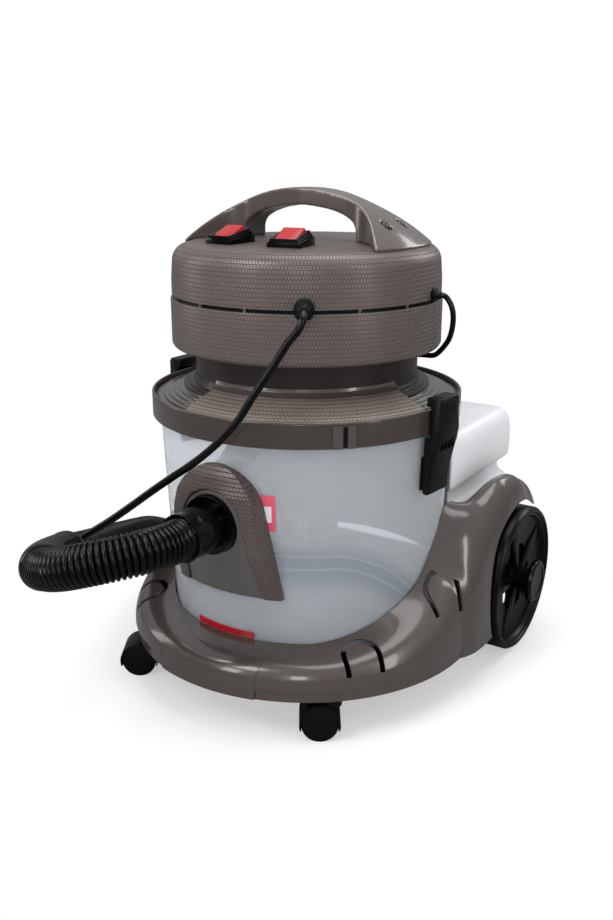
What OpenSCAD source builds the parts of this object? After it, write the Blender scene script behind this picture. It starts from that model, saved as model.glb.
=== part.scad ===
// Canister spot extractor: dolly base, recovery tank, clean-water tank, lift-off motor head and suction hose.
// Lengths are millimetres, +Z is up, the suction inlet faces -Y. The floor is z = 0, and the middle of the
// base's footprint is x = y = 0. Angles named *_a are measured from the front (-Y) towards +X.

/* [Recovery tank and lid] */
// Outer radius of the recovery tank at its floor
tank_foot_r = 160; // [150:1:162]
// Outer radius of the recovery tank under the lid
tank_mouth_r = 171; // [166:1:172]
// Thickness of the tank wall
tank_wall = 2.8; // [2:0.2:4]
// Height of the tank's floor above the ground
tank_floor_z = 60; // [58:1:64]
// Height of the tank's rim above the ground
tank_top_z = 330; // [326:1:331]
// Outer radius of the lid's rim band
lid_r = 180; // [178:1:182]
// Top of the lid's rim band
lid_top_z = 343.5; // [342:0.5:345]
// Height of the lid's rim band
lid_band_h = 27; // [22:1:30]

/* [Motor head] */
// Radius of the neck between lid and motor head
neck_r = 128.5; // [118:0.5:130]
// Radius of the motor head over the air gap
head_r = 153; // [148:1:156]
// Radius of the motor head under the air gap
housing_r = 154.5; // [148:0.5:158]
// Underside of the motor head
head_z = 394; // [390:1:400]
// Underside of the cooling-air gap round the head
gap_z = 449; // [444:1:452]
// Height of the cooling-air gap
gap_h = 4; // [3:0.5:6]
// Top of the head's cover at its middle
cover_top_z = 512.5; // [510:0.5:514]
// Top of the carrying handle
handle_top_z = 567.5; // [560:0.5:572]
// Width of the handle where it is gripped
grip_w = 40; // [34:1:46]
// Turn of the front tube gland from the front
gland_a = 32; // [28:1:36]

/* [Base] */
// Outer radius of the round base
base_r = 213; // [210:1:216]
// Underside of the base cover
skirt_z = 46; // [44:1:48]
// Height of the step line round the base cover
lip_z = 59; // [57:1:61]
// Thickness of the base cover
cover_wall = 3; // [2.4:0.2:4]
// Half angle of the front panel at its lower edge
panel_a = 17.5; // [15:0.5:20]

/* [Wheels] */
// Diameter of the rear wheels
wheel_d = 183; // [176:1:186]
// Outer face of a rear wheel, from the middle
wheel_face_x = 226; // [224:1:230]
// Width of a rear wheel
wheel_w = 36; // [30:1:38]
// Diameter of the rear axle
axle_d = 12; // [10:1:14]
// Diameter of the caster wheels
caster_d = 40; // [38:1:40]
// Trail of the casters
caster_trail = 12; // [8:1:14]

/* [Clean-water tank] */
// Half width of the clean-water tank
clean_half_w = 158; // [150:1:158]
// Top of the clean-water tank
clean_top_z = 283; // [270:1:290]
// Underside of the clean-water tank
clean_floor_z = 106; // [104:1:110]

/* [Hose and tubes] */
// Diameter of the suction hose over its ribs
hose_d = 45; // [42:0.5:45]
// Bore of the suction hose
hose_bore = 36; // [32:1:38]
// Number of ribs on the suction hose
hose_ribs = 190; // [120:1:200]
// Diameter of the solution tube
tube_d = 8; // [6:0.5:9]
// Diameter of the supply tube
supply_d = 6; // [5:0.5:7]

/* [Hidden] */

$fn = 72;
eps = 0.01;
// Clearances: a shaft in its bore, and one shell beside another
run = 0.05;
slip = 0.3;

// Colours
brown = [0.38, 0.34, 0.32];
grey_plastic = [0.45, 0.43, 0.42];
black = [0.06, 0.06, 0.07];
milky = [0.80, 0.86, 0.90, 0.55];
white_milky = [0.92, 0.93, 0.95, 0.85];
blue_grey = [0.45, 0.55, 0.63];
red = [0.78, 0.10, 0.12];
steel = [0.72, 0.73, 0.75];

// Where the tank's axis stands, so that the footprint is centred
clean_back_y = 271;
tank_y = (base_r - clean_back_y) / 2;

// Rear wheels and casters
axle_y = 155.5;
axle_z = wheel_d / 2;
arch_r = wheel_d / 2 + 7;
caster_x = 128.5;
caster_y = -150.5;
caster_turn = 57;

// Inlet, switches and latches
port_z = 228;
port_face_y = -193;
switch_x = 39;
switch_y = -90.5;
switch_tilt = 13;
switch_turn = 7.5;
latch_pivot_x = 177;
latch_pivot_z = 256;
latch_turn = 5.5;

function arcPts(cx, cy, r, a0, a1, n) =
    [for (i = [0 : n]) let(a = a0 + (a1 - a0) * i / n) [cx + r * cos(a), cy + r * sin(a)]];
function mirrored(pts) = [for (i = [len(pts) - 1 : -1 : 0]) [-pts[i][0], pts[i][1]]];
function tankR(z) = tank_foot_r + (tank_mouth_r - tank_foot_r) * (z - tank_floor_z) / 262;
function around(r, a) = [r * sin(a), -r * cos(a)];

module atTank() { translate([0, tank_y, 0]) children(); }
module onLeft() { mirror([1, 0, 0]) children(); }
// A shape drawn in the XZ plane, drawn out along Y from y0 to y1
module alongY(y0, y1) { translate([0, y1, 0]) rotate([90, 0, 0]) linear_extrude(y1 - y0) children(); }
// A shape turned about the X axis: its radius runs along x and its place along the axis along y
module aboutX() { rotate([90, 0, 90]) rotate_extrude($fn = 120) children(); }
module radial(a, z) { translate([0, 0, z]) rotate([0, 0, a - 90]) rotate([0, 90, 0]) children(); }
module tube(r_out, r_in, h) {
    difference() {
        cylinder(r = r_out, h = h);
        translate([0, 0, -1]) cylinder(r = r_in, h = h + 2);
    }
}

// ---- Swept tubes ----

function unit(v) = v / norm(v);
function spline(p, i, t) =
    let(a = p[max(i - 1, 0)], b = p[i], c = p[i + 1], d = p[min(i + 2, len(p) - 1)],
        a2 = i > 0 ? a : 2 * b - c, d2 = i + 2 < len(p) ? d : 2 * c - b)
    (2 * b + (c - a2) * t + (2 * a2 - 5 * b + 4 * c - d2) * t * t + (3 * b - a2 - 3 * c + d2) * t * t * t) / 2;
function smooth(p, m) =
    [for (i = [0 : len(p) - 2], j = [0 : m - 1]) spline(p, i, j / m), p[len(p) - 1]];
function travel(p) =
    [for (i = 0, s = 0; i < len(p); s = s + (i + 1 < len(p) ? norm(p[i + 1] - p[i]) : 0), i = i + 1) s];
function along(p, s, at) =
    [for (k = [0 : 2]) lookup(at, [for (i = [0 : len(p) - 1]) [s[i], p[i][k]]])];
// Rings round a path: centres c, radii r, n sides each
function ring(c, dir, r, n) =
    let(side = unit(cross(dir, [0, 0, 1])), up = cross(side, dir))
    [for (k = [0 : n - 1]) c + r * (cos(360 * k / n) * side + sin(360 * k / n) * up)];
function rings(c, r, n) =
    [for (i = [0 : len(c) - 1])
        let(d = unit(c[min(i + 1, len(c) - 1)] - c[max(i - 1, 0)])) each ring(c[i], d, r[i], n)];
function skin(first, last, n) =
    [for (i = [first : last - 1], k = [0 : n - 1])
        let(a = i * n + k, b = i * n + (k + 1) % n) each [[a, b, a + n], [b, b + n, a + n]]];
function flip(f) = [for (t = f) [t[2], t[1], t[0]]];
function cap(i, n) = [for (k = [1 : n - 2]) [i * n, i * n + k + 1, i * n + k]];

module sweptRod(pts, r, n) {
    c = pts;
    last = len(c) - 1;
    polyhedron(rings(c, [for (i = c) r], n), concat(skin(0, last, n), cap(0, n), flip(cap(last, n))));
}

// A tube whose outside and bore follow their own rings
module sweptPipe(c_out, r_out, c_in, r_in, n) {
    no = len(c_out);
    ni = len(c_in);
    pts = concat(rings(c_out, r_out, n), rings(c_in, r_in, n));
    inner = [for (t = skin(0, ni - 1, n)) [t[2], t[1], t[0]] + no * n * [1, 1, 1]];
    ends = [for (k = [0 : n - 1])
        let(j = (k + 1) % n, o = no * n, e = (no - 1) * n, q = o + (ni - 1) * n)
        each [[k, o + k, j], [j, o + k, o + j], [e + k, e + j, q + k], [e + j, q + j, q + k]]];
    polyhedron(pts, concat(skin(0, no - 1, n), inner, ends));
}

// ---- Routes, from the tank's axis ----

hose_floor_z = 23.2;
hose_route = [
    [0, -204, port_z], [0, -228, port_z], [0, -252, port_z],
    [-10, -288, 228], [-38, -316, 222], [-76, -327, 210], [-114, -316, 197], [-143, -288, 187],
    [-155, -250, 180], [-162, -208, 171], [-173, -164, 161], [-189, -120, 148], [-209, -77, 134],
    [-231, -33, 118], [-252, 12, 97], [-268, 62, 71], [-277, 116, 46], [-281, 172, 29],
    [-282, 232, hose_floor_z], [-281, 290, hose_floor_z], [-270, 346, hose_floor_z],
    [-246, 396, hose_floor_z], [-208, 436, hose_floor_z], [-160, 462, hose_floor_z],
    [-105, 474, hose_floor_z], [-48, 474, hose_floor_z], [8, 466, hose_floor_z],
    [35, 459, hose_floor_z], [62, 452, hose_floor_z]
];
hose_line = smooth(hose_route, 8);
hose_at = travel(hose_line);
hose_len = hose_at[len(hose_at) - 1];
collar_from = 222;
collar_to = 300;
hose_end = hose_route[len(hose_route) - 1];
hose_end_dir = unit(hose_end - hose_route[len(hose_route) - 2]);

tube_route = [
    [93.3, -149.3, 455], [94.9, -151.8, 455], [97, -156, 453], [99, -162, 447], [96, -166, 438], [88, -169, 428],
    [78, -177, 408], [70, -184, 392], [60, -191, 374], [51, -196, 357], [41, -201, 342],
    [30, -205, 329], [17, -210, 316], [1, -216, 302], [-19, -223, 287], [-41, -230, 270],
    [-65, -236, 251], [-90, -241, 232], [-110, -245, 218], [-127, -248, 207]
];
supply_route = [
    [163, 14, 458], [165.5, 14.2, 458], [170, 14.6, 454], [174.5, 15, 446], [176.5, 15, 436], [175.5, 16, 424],
    [170.5, 20, 411], [161, 26, 399.5], [151, 31, 390.5], [143, 34.5, 387.5], [134, 35.9, 387],
    [123, 33, 387]
];

// ---- Base ----

// Height at which the base cover meets the tank, by the angle from the front
function seatRise(a) = 0.0018 * pow(max(0, a - 72), 3);
function seatZ(a) = let(d = max(0, a - 35)) 90 + 0.35 * d + 0.0135 * d * d + seatRise(a);
// Beside and behind the tank, by the distance along Y: seat, crown and lip of the cover
seat_y = [[0, seatZ(90)], [10.5, 172.2], [24.4, 187.8], [34.9, 197.8], [46, 205.5], [54, 209], [62, 209.5],
    [72, 207], [84, 201.5], [96, 197], [114, 194.5], [230, 194]];
crown_y = [[0, 126.8], [12, 137], [24, 150], [36, 162], [47, 172], [56, 179], [66, 185], [78, 190.5],
    [94, 200], [112, 211], [132, 217.5], [155, 216], [178, 208.5], [198, 197], [208, 193], [216, 189]];
lip_x = [[0, base_r], [8, 216], [22, 220.5], [46, 222.5], [216, 222.5]];
clean_gap = 2.5;

function bezier(p, t) =
    pow(1 - t, 3) * p[0] + 3 * t * pow(1 - t, 2) * p[1] + 3 * t * t * (1 - t) * p[2] + t * t * t * p[3];
// Section of the cover, [out, up] from where it meets the tank: lip, wall, crown and seat
function section(out, low, seat, crown, step) =
    let(foot = max(low + 3, lip_z), high = (8 * crown - foot - seat) / 6,
        curve = [[out, foot], [out, high], [out * 0.55, high], [0, seat]])
    concat([[out - step, low], [out - step, foot - 1.5]], [for (i = [0 : 8]) bezier(curve, i / 8)]);
function inward(s, i) =
    let(d = s[min(i + 1, len(s) - 1)] - s[max(i - 1, 0)]) [-d[1], d[0]] / norm(d);
function shellRing(s) = concat(s, [for (i = [len(s) - 1 : -1 : 0])
    let(q = s[i] + cover_wall * inward(s, i)) [max(q[0], 0), q[1]]]);
function filledRing(s) = concat(s, [[0, s[0][1]]]);

// The seam beside the front panel leans, so each point of a station has its own angle
function roundStation(a, lean, step, filled) =
    let(m = abs(a) + lean / 2, seat = seatZ(m), r = tankR(seat) + 1.6,
        low_crown = seat - 5 - 22.5 * max(0, m - 35) / 55 - 0.6 * seatRise(m),
        s = section(base_r - r, skirt_z, seat, low_crown, step))
    [for (p = filled ? filledRing(s) : shellRing(s))
        let(q = around(r + p[0], a + sign(a) * lean * (1 - p[0] / (base_r - r)))) [q[0], q[1], p[1]]];
function sideStation(y, filled) =
    let(seat = lookup(y, seat_y), r = tankR(seat) + 1.6,
        inner = max(sqrt(max(0, r * r - y * y)), clean_half_w + clean_gap),
        s = section(lookup(y, lip_x) - inner, skirt_z, seat, lookup(y, crown_y), 2))
    [for (p = filled ? filledRing(s) : shellRing(s)) [inner + p[0], y, p[1]]];

module loft(stations, filled) {
    n = len(stations[0]);
    m = n / 2;
    last = (len(stations) - 1) * n;
    near = filled ? [for (i = [0 : n - 3]) [i + 1, i, n - 1]]
        : [for (i = [0 : m - 2]) each [[i + 1, i, n - 1 - i], [n - 2 - i, i + 1, n - 1 - i]]];
    far = [for (t = near) [last + t[0], last + t[2], last + t[1]]];
    polyhedron([for (s = stations) each s], concat(skin(0, len(stations) - 1, n), near, far));
}

// An arch-shaped slot, cut through the shoulder of the cover
slot_gap = 6;
module archSlot(a, r, z, w, h, tilt, roll) {
    legs = h - w / 2;
    outer = arcPts(0, legs, w / 2, 0, 180, 12);
    inner = arcPts(0, legs, w / 2 - slot_gap, 180, 0, 12);
    translate([0, 0, z]) rotate([0, 0, a]) translate([0, -r, 0]) rotate([tilt, 0, 0])
        linear_extrude(70, center = true) rotate(roll) polygon(concat(
            [[w / 2, 0]], outer, [[-w / 2, 0], [-w / 2 + slot_gap, 0]], inner, [[w / 2 - slot_gap, 0]]));
}

// Screws up through the chassis into bosses under the cover, by their angle from the front
screw_r = 192;
side_screws = [32, 63, 96];
screw_up = 20;
module coverBosses(angles, stations) {
    difference() {
        intersection() {
            for (a = angles)
                translate([around(screw_r, a)[0], around(screw_r, a)[1], pan_z + pan_h])
                    cylinder(r = 5.5, h = 200, $fn = 12);
            loft(stations, true);
        }
        for (a = angles)
            translate([around(screw_r, a)[0], around(screw_r, a)[1], pan_z]) cylinder(r = 2.2, h = 34, $fn = 24);
    }
}

side_y = [0, 8, 15, 22, 30, 38, 47, 56, 66, 78, 94, 112, 132, 155, 178, 198, 208, 216];
function coverStations(filled) = concat(
    [roundStation(panel_a + 0.15, 6.5, 2, filled), roundStation(25.5, 4.5, 2, filled),
     roundStation(34.5, 1.5, 2, filled)],
    [for (a = [44, 52, 60, 68, 76, 83]) roundStation(a, 0, 2, filled)],
    [for (y = side_y) sideStation(y, filled)]);
function panelStations(filled) = [for (k = [-3 : 3]) roundStation(panel_a * k / 3, 6.5 * abs(k) / 3, 0.2, filled)];

module baseCover() {
    difference() {
        loft(coverStations(false), false);
        archSlot(50.5, 201, 64, 44, 43, 45, 0);
        archSlot(85.3, 200, 98.5, 43, 47, 24, -15);
        translate([170, axle_y, axle_z]) rotate([0, 90, 0]) cylinder(r = arch_r, h = 80);
    }
    coverBosses(side_screws, coverStations(true));
}
module base_cover_right() { color(brown) atTank() baseCover(); }
module base_cover_left() { color(brown) atTank() onLeft() baseCover(); }
module front_panel() {
    color(brown) atTank() {
        loft(panelStations(false), false);
        coverBosses([0], panelStations(true));
    }
}
module trim_strip() {
    color(red) atTank() rotate([0, 0, -106]) rotate_extrude(angle = 28, $fn = 120)
        translate([tankR(94.5) + 0.6, 91]) square([1.2, 7]);
}

pan_r = base_r - 6;
pan_z = skirt_z + 1;
pan_h = 10;
screw_spots = [for (a = concat([0], side_screws, -side_screws)) around(screw_r, a)];
module chassis() {
    color(black) atTank() difference() {
        union() {
            translate([0, 0, pan_z]) linear_extrude(pan_h) {
                intersection() {
                    circle(r = pan_r, $fn = 120);
                    translate([-pan_r, -pan_r]) square([2 * pan_r, pan_r + 48]);
                }
                polygon(concat([[183, 20]], arcPts(163, 238, 20, 0, 90, 5), arcPts(-163, 238, 20, 90, 180, 5),
                    [[-183, 20]]));
            }
            translate([0, 0, pan_z + pan_h]) tube(tank_foot_r + 9, tank_foot_r + 5, 22);
            translate([0, 0, pan_z + pan_h]) tube(tank_foot_r - 4, tank_foot_r - 12, tank_floor_z - pan_z - pan_h);
            for (x = [-184, 176])
                translate([x, axle_y - 26, pan_z]) cube([8, 52, axle_z + 18 - pan_z]);
            for (x = [-124, 116])
                translate([x, axle_y - 15, pan_z]) cube([8, 30, axle_z + 12 - pan_z]);
            for (x = [-112, 106])
                translate([x, axle_y + 22, pan_z]) cube([6, 74, clean_floor_z - slip - pan_z]);
            for (s = [-1, 1])
                translate([s * caster_x, caster_y, pan_z]) cylinder(r = 9, h = 24);
        }
        for (s = [-1, 1])
            translate([s * caster_x, caster_y, pan_z - 1]) cylinder(r = 4 + run, h = 22);
        translate([0, axle_y, axle_z]) rotate([0, 90, 0]) cylinder(r = axle_d / 2 + run, h = 400, center = true);
        for (p = screw_spots)
            translate([p[0], p[1], pan_z - 1]) cylinder(r = 2.2, h = pan_h + 2, $fn = 24);
    }
}
module chassis_screws() {
    color(steel) atTank() for (p = screw_spots)
        translate([p[0], p[1], pan_z]) {
            translate([0, 0, -2.6]) cylinder(r = 4.2, h = 2.6, $fn = 24);
            translate([0, 0, -1]) cylinder(r = 2, h = screw_up + 1, $fn = 24);
        }
}

// ---- Rear wheels ----

hub_r = 15;
cap_r = 26;
// A stub axle for each rear wheel, clear of the recovery tank between them
module stubAxle() {
    translate([112, axle_y, axle_z]) rotate([0, 90, 0]) cylinder(r = axle_d / 2, h = wheel_face_x + 6 - 112);
}
module rear_axle() {
    color(steel) atTank() {
        stubAxle();
        onLeft() stubAxle();
    }
}
wheel_in_x = wheel_face_x - wheel_w;
pocket_a = 195;
module rearWheel() {
    r = wheel_d / 2;
    bore = axle_d / 2 + run;
    face = wheel_face_x;
    translate([0, axle_y, axle_z]) {
        difference() {
            aboutX() polygon([
                [bore, wheel_in_x + 2], [hub_r, wheel_in_x + 2], [hub_r, face - 19], [r - 14, face - 14],
                [r - 14, wheel_in_x], [r - 3, wheel_in_x], [r, wheel_in_x + 4], [r, face - 4], [r - 3, face],
                [r - 7, face], [r - 10, face - 5], [r - 13, face - 9], [hub_r, face - 13], [hub_r, face + 8],
                [bore, face + 8]]);
            for (i = [0 : 4])
                rotate([72 * i + pocket_a, 0, 0]) translate([0, 0, 32]) rotate([0, 90, 0])
                    scale([11, 15, 1]) cylinder(r = 1, h = face + 20, $fn = 40);
        }
        for (i = [0 : 4])
            rotate([72 * i + pocket_a + 36, 0, 0]) translate([face - 15, 0, 0]) rotate([90, 0, 90])
                linear_extrude(8) polygon([[-4, 13], [4, 13], [12, r - 12], [-12, r - 12]]);
    }
}
module hubCap() {
    translate([0, axle_y, axle_z]) aboutX() polygon([
        [0, wheel_face_x + 8.2], [cap_r - 3, wheel_face_x + 8.2], [cap_r, wheel_face_x + 10.5],
        [cap_r, wheel_face_x + 15.5], [cap_r - 2.5, wheel_face_x + 18], [cap_r - 6, wheel_face_x + 18],
        [cap_r - 7.5, wheel_face_x + 16.5], [0, wheel_face_x + 16.5]]);
}
module wheel_right() { color(black) atTank() rearWheel(); }
module wheel_left() { color(black) atTank() onLeft() rearWheel(); }
module hub_cap_right() { color(black) atTank() hubCap(); }
module hub_cap_left() { color(black) atTank() onLeft() hubCap(); }

// ---- Casters ----

caster_r = caster_d / 2;
caster_pin_r = 2.5;
web_w = 7;
hood_w = 38;
module onCaster(s) {
    translate([s * caster_x, caster_y, 0]) rotate([0, 0, -90 - caster_turn]) children();
}
module casterFork() {
    hood_r = caster_r + 2.4;
    difference() {
        union() {
            translate([caster_trail, 0, caster_r]) rotate([90, 0, 0]) difference() {
                cylinder(r = hood_r, h = hood_w, center = true);
                translate([0, 0, web_w / 2 + hood_w / 2])
                    cylinder(r = caster_r + 0.7, h = hood_w, center = true);
                translate([0, 0, -web_w / 2 - hood_w / 2])
                    cylinder(r = caster_r + 0.7, h = hood_w, center = true);
            }
            translate([0, 0, caster_r + 17]) cylinder(r = 12, h = 8.4);
            translate([0, 0, caster_r + 20]) cylinder(r = 4, h = 26);
        }
        // Open below and behind the wheel's axle
        translate([caster_trail - 40, -40, -10]) cube([80, 80, caster_r + 4]);
        translate([caster_trail, 0, caster_r]) rotate([90, 0, 0]) {
            for (z = [web_w / 2, -web_w / 2 - hood_w / 2 - 1])
                translate([0, 0, z]) cylinder(r = caster_r + 0.7, h = hood_w / 2 + 1);
            cylinder(r = caster_pin_r + run, h = web_w + 2, center = true);
        }
    }
    // Web between the two wheels, with the pin's bore
    difference() {
        translate([caster_trail, 0, caster_r]) rotate([90, 0, 0]) cylinder(r = 12, h = web_w, center = true);
        translate([caster_trail, 0, caster_r]) rotate([90, 0, 0])
            cylinder(r = caster_pin_r + run, h = web_w + 2, center = true);
    }
}
module casterWheel() {
    translate([caster_trail, 0, caster_r]) rotate([90, 0, 0]) {
        for (s = [-1, 1])
            translate([0, 0, s * (web_w / 2 + 0.6 + 6.5)]) difference() {
                cylinder(r = caster_r, h = 13, center = true);
                translate([0, 0, s * 6]) tube(caster_r - 4, 6, 2);
            }
        cylinder(r = caster_pin_r, h = hood_w - 4, center = true);
    }
}
module caster_fork_right() { color(black) atTank() onCaster(1) casterFork(); }
module caster_fork_left() { color(black) atTank() onCaster(-1) casterFork(); }
module caster_wheel_right() { color(black) atTank() onCaster(1) casterWheel(); }
module caster_wheel_left() { color(black) atTank() onCaster(-1) casterWheel(); }

// ---- Recovery tank and inlet ----

bead_z = tank_top_z - 8;
module recovery_tank() {
    w = tank_wall;
    color(milky) atTank() difference() {
        rotate_extrude($fn = 120) polygon([
            [0, tank_floor_z], [tank_foot_r - 5, tank_floor_z], [tankR(tank_floor_z + 5), tank_floor_z + 5],
            [tankR(bead_z), bead_z], [tankR(bead_z) + 3, bead_z + 1], [tankR(bead_z) + 3, tank_top_z],
            [tankR(bead_z) - w, tank_top_z], [tank_foot_r + 0.2 - w, tank_floor_z + 6],
            [tank_foot_r - 5 - w, tank_floor_z + w + 1], [0, tank_floor_z + w + 1]]);
        translate([0, -150, port_z]) rotate([90, 0, 0]) cylinder(r = 30, h = 60, center = true);
    }
}

// Outline of the arched inlet panel, and of the plain plate inside it, in X and Z
panel_low_z = 144;
panel_out = concat([[69, panel_low_z]], arcPts(0, 240, 52, 8, 172, 16), [[-69, panel_low_z]]);
plate_out = concat([[50, panel_low_z]], arcPts(0, port_z, 38, 8, 172, 16), [[-50, panel_low_z]]);
// Front of the panel, as a radius from the tank's axis by height
panel_front = [[172, panel_low_z - 1], [178, 166], [186, 196], [190.5, 222], [191.5, 240], [189, 262],
    [183, 280], [172, 294]];
module panelBody(set_back) {
    difference() {
        intersection() {
            alongY(-205, -140) children();
            rotate_extrude($fn = 120) polygon(concat([[0, panel_low_z - 1]],
                [for (p = panel_front) [p[0] - set_back, p[1]]], [[0, 294]]));
        }
        translate([0, 0, 100]) cylinder(h = 240, r1 = tankR(100) + slip, r2 = tankR(340) + slip, $fn = 120);
        translate([0, -150, port_z]) rotate([90, 0, 0]) cylinder(r = 32 + slip, h = 60);
    }
}
module inlet_panel() {
    color(brown) atTank() difference() {
        panelBody(0) polygon(panel_out);
        alongY(-206, -100) polygon(concat([[51.25 + slip, panel_low_z - 9]],
            arcPts(0, port_z, 38 + slip, 8, 172, 16), [[-51.25 - slip, panel_low_z - 9]]));
    }
}
module inlet_plate() { color(grey_plastic) atTank() panelBody(2.5) polygon(plate_out); }

spigot_r = 25;
module inlet_port() {
    color(black) atTank() translate([0, port_face_y, port_z]) rotate([-90, 0, 0]) difference() {
        union() {
            cylinder(r = 32, h = 24);
            cylinder(r = 29.7, h = 58);
        }
        translate([0, 0, -1]) cylinder(r = spigot_r + slip, h = 17);
        translate([0, 0, -1]) cylinder(r = 20, h = 70);
    }
}
module port_nut() {
    color(grey_plastic) atTank() translate([0, -158, port_z]) rotate([-90, 0, 0]) tube(38, 29.8, 9);
}
elbow_bend = 34;
module inlet_elbow() {
    color(milky) atTank() translate([0, port_face_y + 58.2, port_z - elbow_bend]) rotate([90, 0, 90])
        translate([0, 0, 0]) rotate([0, 0, 0]) rotate_extrude(angle = 90, $fn = 48)
            translate([elbow_bend, 0]) difference() {
                circle(r = 26);
                circle(r = 23.5);
            }
}

// ---- Latches ----

latch_half_w = 18.5;
latch_top_z = 357;
hook_gap = 4.2;
module onRim(a) { rotate([0, 0, -a]) children(); }
module acrossPin(r, w) {
    translate([latch_pivot_x, 0, latch_pivot_z]) rotate([90, 0, 0]) cylinder(r = r, h = w, center = true);
}
module latchBracket() {
    wall_r = tankR(latch_pivot_z);
    difference() {
        union() {
            translate([wall_r - 6, -14, latch_pivot_z - 4.5]) cube([8, 28, 38]);
            acrossPin(r = 4, w = 11);
            translate([wall_r - 3, -5.5, latch_pivot_z - 4]) cube([latch_pivot_x - wall_r + 3, 11, 8]);
        }
        acrossPin(r = 2 + run, w = 40);
        translate([0, 0, 200]) cylinder(h = 100, r1 = tankR(200) + 0.1, r2 = tankR(300) + 0.1, $fn = 120);
    }
}
module latch_bracket() {
    color(black) atTank() {
        onRim(latch_turn) latchBracket();
        onLeft() latchBracket();
    }
}
module latch_pins() {
    color(steel) atTank() {
        onRim(latch_turn) acrossPin(r = 2, w = 2 * latch_half_w - 1);
        onLeft() acrossPin(r = 2, w = 2 * latch_half_w - 1);
    }
}
// A C-shaped clamp whose hook reaches over the lid's rim
module latch() {
    in_r = lid_r + 1.2;
    hook_r = lid_r - 3.5;
    hook_z = lid_top_z + hook_gap;
    difference() {
        alongY(-latch_half_w, latch_half_w) polygon([
            [176, 249.5], [181.5, 249.5], [183.6, 252], [183.8, 262], [185, 276], [187.5, 287], [190, 297],
            [193.2, 309], [195, 321], [194.4, 331], [193.5, 340], [193.5, latch_top_z - 3],
            [191, latch_top_z], [hook_r, latch_top_z], [hook_r, hook_z], [in_r, hook_z], [in_r, 314.6],
            [175, 312.5], [174.5, 300], [174.5, 251]]);
        // Slot over the bracket's knuckle, open below and behind
        translate([160, -6.5, 235]) cube([21.7, 13, 36]);
        acrossPin(r = 2 + run, w = 60);
    }
}
module latch_right() { color(black) atTank() onRim(latch_turn) latch(); }
module latch_left() { color(black) atTank() onLeft() latch(); }

// ---- Clean-water tank ----

clean_front_r = 174;
filler_y = 226;
filler_r = 24;
hinge_y = 259;
hinge_z = clean_top_z + 8;
notch_z = [198, 214];
notch_in = 14;
// Outline seen from above, drawn in by d, with rounded rear corners
function cleanOutline(d) = let(w = clean_half_w - d, b = clean_back_y - d, c = 18 - d / 2) concat(
    [[w, 40]], arcPts(w - c, b - c, c, 0, 90, 6), arcPts(-w + c, b - c, c, 90, 180, 6), [[-w, 40]]);
module cleanLayer(d, z0, z1) { translate([0, 0, z0]) linear_extrude(z1 - z0) polygon(cleanOutline(d)); }
module cleanEar(s) {
    translate([s * 9.8, hinge_y, 0]) translate([-2.2, -4, clean_top_z - 1]) cube([4.4, 8, 9]);
    translate([s * 9.8, hinge_y, hinge_z]) rotate([0, 90, 0]) cylinder(r = 4, h = 4.4, center = true, $fn = 32);
}
module clean_tank() {
    w = 3;
    color(white_milky) atTank() difference() {
        union() {
            difference() {
                union() {
                    cleanLayer(4, clean_floor_z, clean_floor_z + 6);
                    cleanLayer(0, clean_floor_z + 6, notch_z[0]);
                    cleanLayer(notch_in, notch_z[0], notch_z[1]);
                    cleanLayer(0, notch_z[1], clean_top_z - 6);
                    cleanLayer(4, clean_top_z - 6, clean_top_z);
                }
                difference() {
                    union() {
                        cleanLayer(7, clean_floor_z + w, clean_floor_z + 7);
                        cleanLayer(w, clean_floor_z + 6 + eps, notch_z[0] - w);
                        cleanLayer(notch_in + w, notch_z[0] - w - 1, notch_z[1] + w + 1);
                        cleanLayer(w, notch_z[1] + w, clean_top_z - 7);
                        cleanLayer(7, clean_top_z - 8, clean_top_z - w);
                    }
                    cylinder(r = clean_front_r + w, h = 400, $fn = 120);
                }
                translate([0, 0, 50]) cylinder(r = clean_front_r, h = 300, $fn = 120);
            }
            translate([0, filler_y, clean_top_z - 1]) cylinder(r = filler_r + 4, h = 6);
            for (s = [-1, 1]) cleanEar(s);
        }
        translate([0, filler_y, clean_top_z - 20]) cylinder(r = filler_r, h = 40);
        translate([0, hinge_y, hinge_z]) rotate([0, 90, 0]) cylinder(r = 1.55, h = 40, center = true, $fn = 32);
    }
}
module filler_flap() {
    lid_z = clean_top_z + 5.4;
    color(blue_grey) atTank() {
        translate([0, filler_y, lid_z]) cylinder(r = filler_r + 5, h = 4);
        translate([-7, filler_y + 10, lid_z]) cube([14, hinge_y - filler_y - 12, 4]);
        translate([-7, hinge_y - 4, lid_z + 1]) cube([14, 4, 3]);
        translate([0, hinge_y, hinge_z]) rotate([0, 90, 0]) {
            cylinder(r = 3, h = 14.4, center = true, $fn = 32);
            cylinder(r = 1.5, h = 23, center = true, $fn = 32);
        }
        translate([0, filler_y - filler_r - 6, lid_z]) cylinder(r = 6, h = 4, $fn = 32);
    }
}

// ---- Lid ----

lid_in_r = lid_r - 3.5;
seal_z = tank_top_z + 4;
step_n = 5;
step_w = 6;
plate_r = lid_r - 7;
function stepR(i) = plate_r - i * step_w;
function stepZ(i) = seal_z + 5 + 2.2 * i;
neck_foot_r = stepR(step_n);
neck_foot_z = stepZ(step_n);
module lid_rim() {
    color(brown) atTank() {
        rotate_extrude($fn = 120) polygon(concat(
            [[lid_in_r, lid_top_z - lid_band_h], [lid_r, lid_top_z - lid_band_h]],
            arcPts(lid_r - 2, lid_top_z - 2, 2, 0, 90, 3),
            [[lid_in_r, lid_top_z], [lid_in_r - 0.5, stepZ(0)], [plate_r, stepZ(0)], [plate_r, seal_z],
             [lid_in_r, seal_z]]));
        // Paired ribs on the band
        for (a = [44, 49])
            rotate([0, 0, a]) translate([-2, -lid_r - 1.6, lid_top_z - lid_band_h]) cube([4, 3, lid_band_h - 3]);
    }
}
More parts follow.
